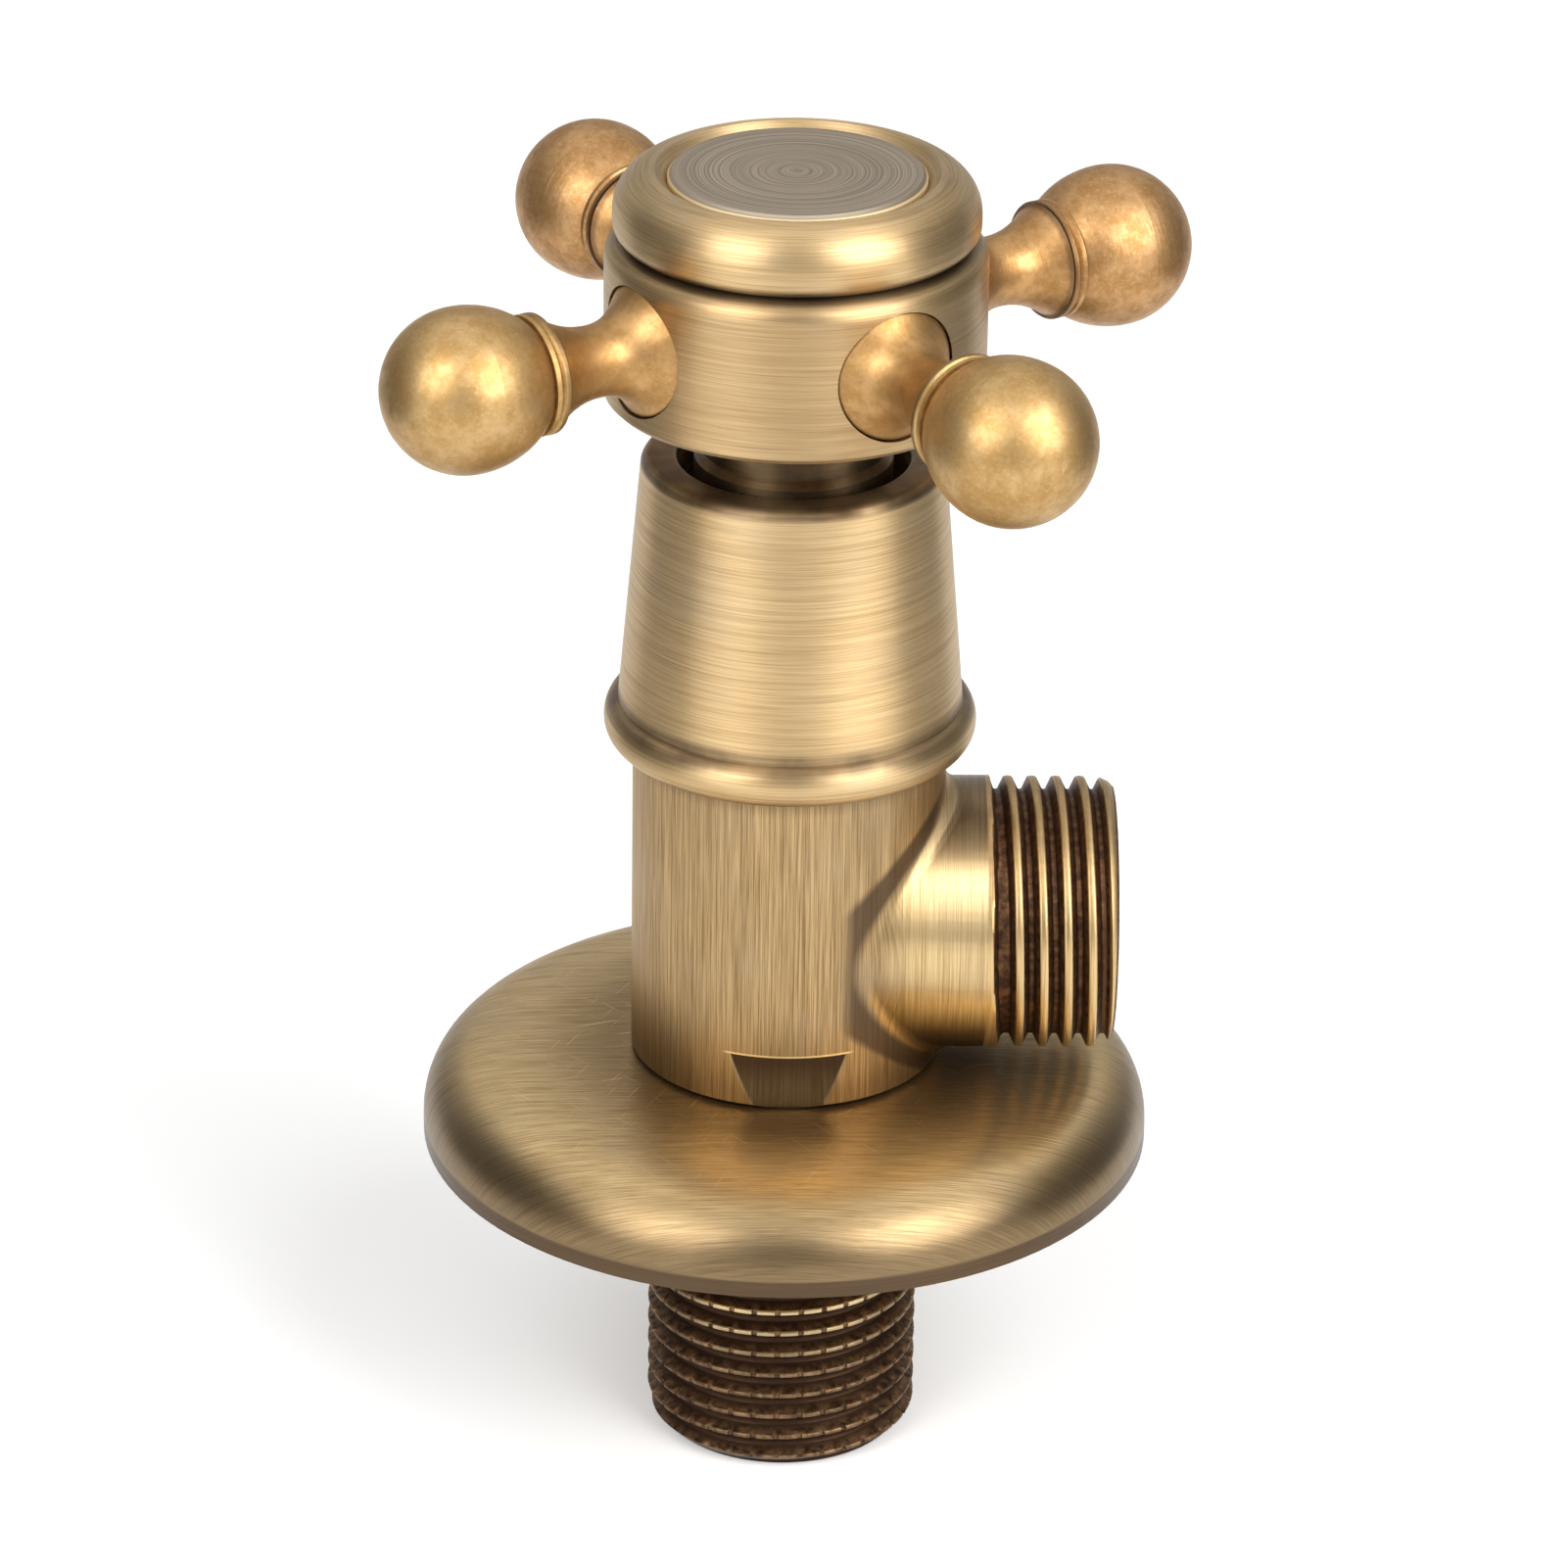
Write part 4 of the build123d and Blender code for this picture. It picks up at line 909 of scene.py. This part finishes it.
def body_shell_data():
    """The CAD body's faces without its threads, cut off straight where the outlet's skin ends."""
    mesh = bmesh.new()
    mesh.from_mesh(nodes["valve_body"].data)
    neck_cut = OUTLET_REACH - SKIN_LENGTH
    bmesh.ops.bisect_plane(
        mesh,
        geom=list(mesh.verts) + list(mesh.edges) + list(mesh.faces),
        dist=0.0001 * MM,
        plane_co=(neck_cut, 0, 0),
        plane_no=(1, 0, 0),
    )
    doomed = []
    for face in mesh.faces:
        centre = face.calc_center_median()
        from_inlet = math.hypot(centre.x, centre.y)
        from_outlet = math.hypot(centre.y, centre.z - OUTLET_HEIGHT)
        on_inlet = centre.z < INLET_THREAD_LENGTH - 0.001 * MM and from_inlet > INLET_TIP_RADIUS
        on_tip = centre.x > OUTLET_REACH - 0.01 * MM
        on_outlet = neck_cut < centre.x and from_outlet > OUTLET_CORE_REACH and not on_tip
        if on_inlet or on_outlet:
            doomed.append(face)
    bmesh.ops.delete(mesh, geom=doomed, context="FACES")
    return smooth_data("body_shell", mesh, sharp_degrees=25)


def inlet_skin_data():
    """The inlet's thread, upright, with its start at the shank's end."""
    phases = profile_phases(INLET_CREST_HALF, INLET_ROOT_HALF)
    return helical_mesh(
        "inlet_thread_skin", INLET_THREAD_LENGTH, INLET_HELIX_LEAD, inlet_steps(), phases, inlet_radius
    )


def outlet_skin_data():
    """The outlet's thread, turned to lie along the neck with its start at the tip."""
    steps = [FULL_TURN * step / OUTLET_STEPS for step in range(OUTLET_STEPS)]
    phases = profile_phases(OUTLET_CREST_HALF, OUTLET_ROOT_HALF)
    data = helical_mesh(
        "outlet_thread_skin", SKIN_LENGTH, OUTLET_HELIX_LEAD, steps, phases, outlet_radius
    )
    data.transform(Matrix(((0, 0, -1, OUTLET_REACH), (0, 1, 0, 0), (1, 0, 0, OUTLET_HEIGHT), (0, 0, 0, 1))))
    return data


def replace_valve_body():
    """The body's shell, and its two threads in detail."""
    skins = [
        (body_shell_data(), body_brass()),
        (inlet_skin_data(), inlet_bronze()),
        (outlet_skin_data(), outlet_bronze()),
    ]
    for data, material in skins:
        paint(data, material)
        piece = add_object(data.name, data)
        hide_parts("valve_body")
        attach(piece, "valve")


def replace_spoke(name, material):
    """The CAD spoke with its flare drawn out, so that the rim follows the hub's round side."""
    turn = math.radians(SPOKE_ANGLES[name])
    along = Vector((math.cos(turn), math.sin(turn), 0))
    across = Vector((-math.sin(turn), math.cos(turn), 0))
    data = nodes[name].data.copy()
    data.name = name + "_flared"
    for vert in data.vertices:
        out = vert.co.dot(along)
        if SPOKE_RIM_REACH - 0.01 * MM < out < FLARE_WAIST_REACH:
            share = min((FLARE_WAIST_REACH - out) / (FLARE_WAIST_REACH - SPOKE_RIM_REACH), 1.0)
            sideways = vert.co.dot(across)
            rim = math.sqrt(HUB_RADIUS**2 - sideways**2) - FLARE_SINK
            vert.co += along * (rim - SPOKE_RIM_REACH) * share**FLARE_FADE
    data.update()
    paint(data, material)
    piece = add_object(data.name, data)
    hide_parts(name)
    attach(piece, "handle")


def replace_spokes():
    """The back pair is more coppery than the front pair, and shows its turning rings more."""
    for name, angle in SPOKE_ANGLES.items():
        tones, ring_strength = (COPPER_BALL, 1.1) if "back" in name else (GOLD_BALL, 0.35)
        replace_spoke(name, spoke_brass(name + "_brass", angle, tones, ring_strength))


def dress_nodes():
    """Gives each CAD node that stays its material."""
    # On the bell the bands are patina and painted shade in its creases. On the hub they are painted shade low
    # down towards the shroud and at the gap under the cap, and on the cap painted shade at that gap.
    bell_patina_and_shade = [(60.6, 61.3, 0.9, 0.75), (79.9, 81.0, 0.5, 0.85), (57.0, 57.9, 0.4, 0.6)]
    hub_painted_shade = [(97.4, 98.0, 0.6, 0.8), (70.0, 84.9, 0.2, 0.95), (85.0, 85.4, 0.3, 0.5)]
    cap_painted_shade = [(90.0, 97.9, 0.5, 0.85)]
    looks = [
        (turned_brass("bell_brass", BELL_RADIUS, BRASS, bell_patina_and_shade), ["bonnet_shroud"]),
        (turned_brass("hub_brass", HUB_RADIUS, HUB_BRASS, hub_painted_shade), ["handle_hub"]),
        (turned_brass("cap_brass", CAP_RADIUS, CAP_BRASS, cap_painted_shade), ["handle_cap"]),
        (escutcheon_brass(), ["wall_escutcheon"]),
        (disc_brass(), ["index_disc"]),
        (plain_metal("bare_brass", BARE_BRASS, smooth=0.32), ["headwork_housing", "spindle", "spline_bush"]),
        (plain_metal("steel", STEEL, smooth=0.3), ["handle_screw", "screw_washer", "spindle_circlip"]),
        (
            plain_solid("rubber", RUBBER, roughness=0.6, grain_scale=900.0),
            ["seat_seal", "spindle_oring_lower", "spindle_oring_upper", "shroud_oring", "cap_oring"],
        ),
        (
            plain_solid("fibre", FIBRE, roughness=0.8, grain_scale=1600.0),
            ["headwork_gasket", "slide_washer"],
        ),
        (
            plain_solid("ceramic", CERAMIC, roughness=0.18, grain_scale=400.0),
            ["ceramic_disc_fixed", "ceramic_disc_moving"],
        ),
    ]
    for material, names in looks:
        for name in names:
            paint(nodes[name].data, material)


bpy.context.scene.view_settings.view_transform = "Standard"
add_camera()
add_floor()
add_world()
add_studio_walls()
add_soft_box("soft_box_left", azimuth=-42, elevation=34, distance=0.9, width=0.5, height=0.7, power=6.2)
add_soft_box("soft_box_right", azimuth=46, elevation=34, distance=0.9, width=0.58, height=0.7, power=9.6)
add_flag("flag_left", azimuth=-95)
add_flag("flag_right", azimuth=100)
replace_valve_body()
replace_spokes()
dress_nodes()
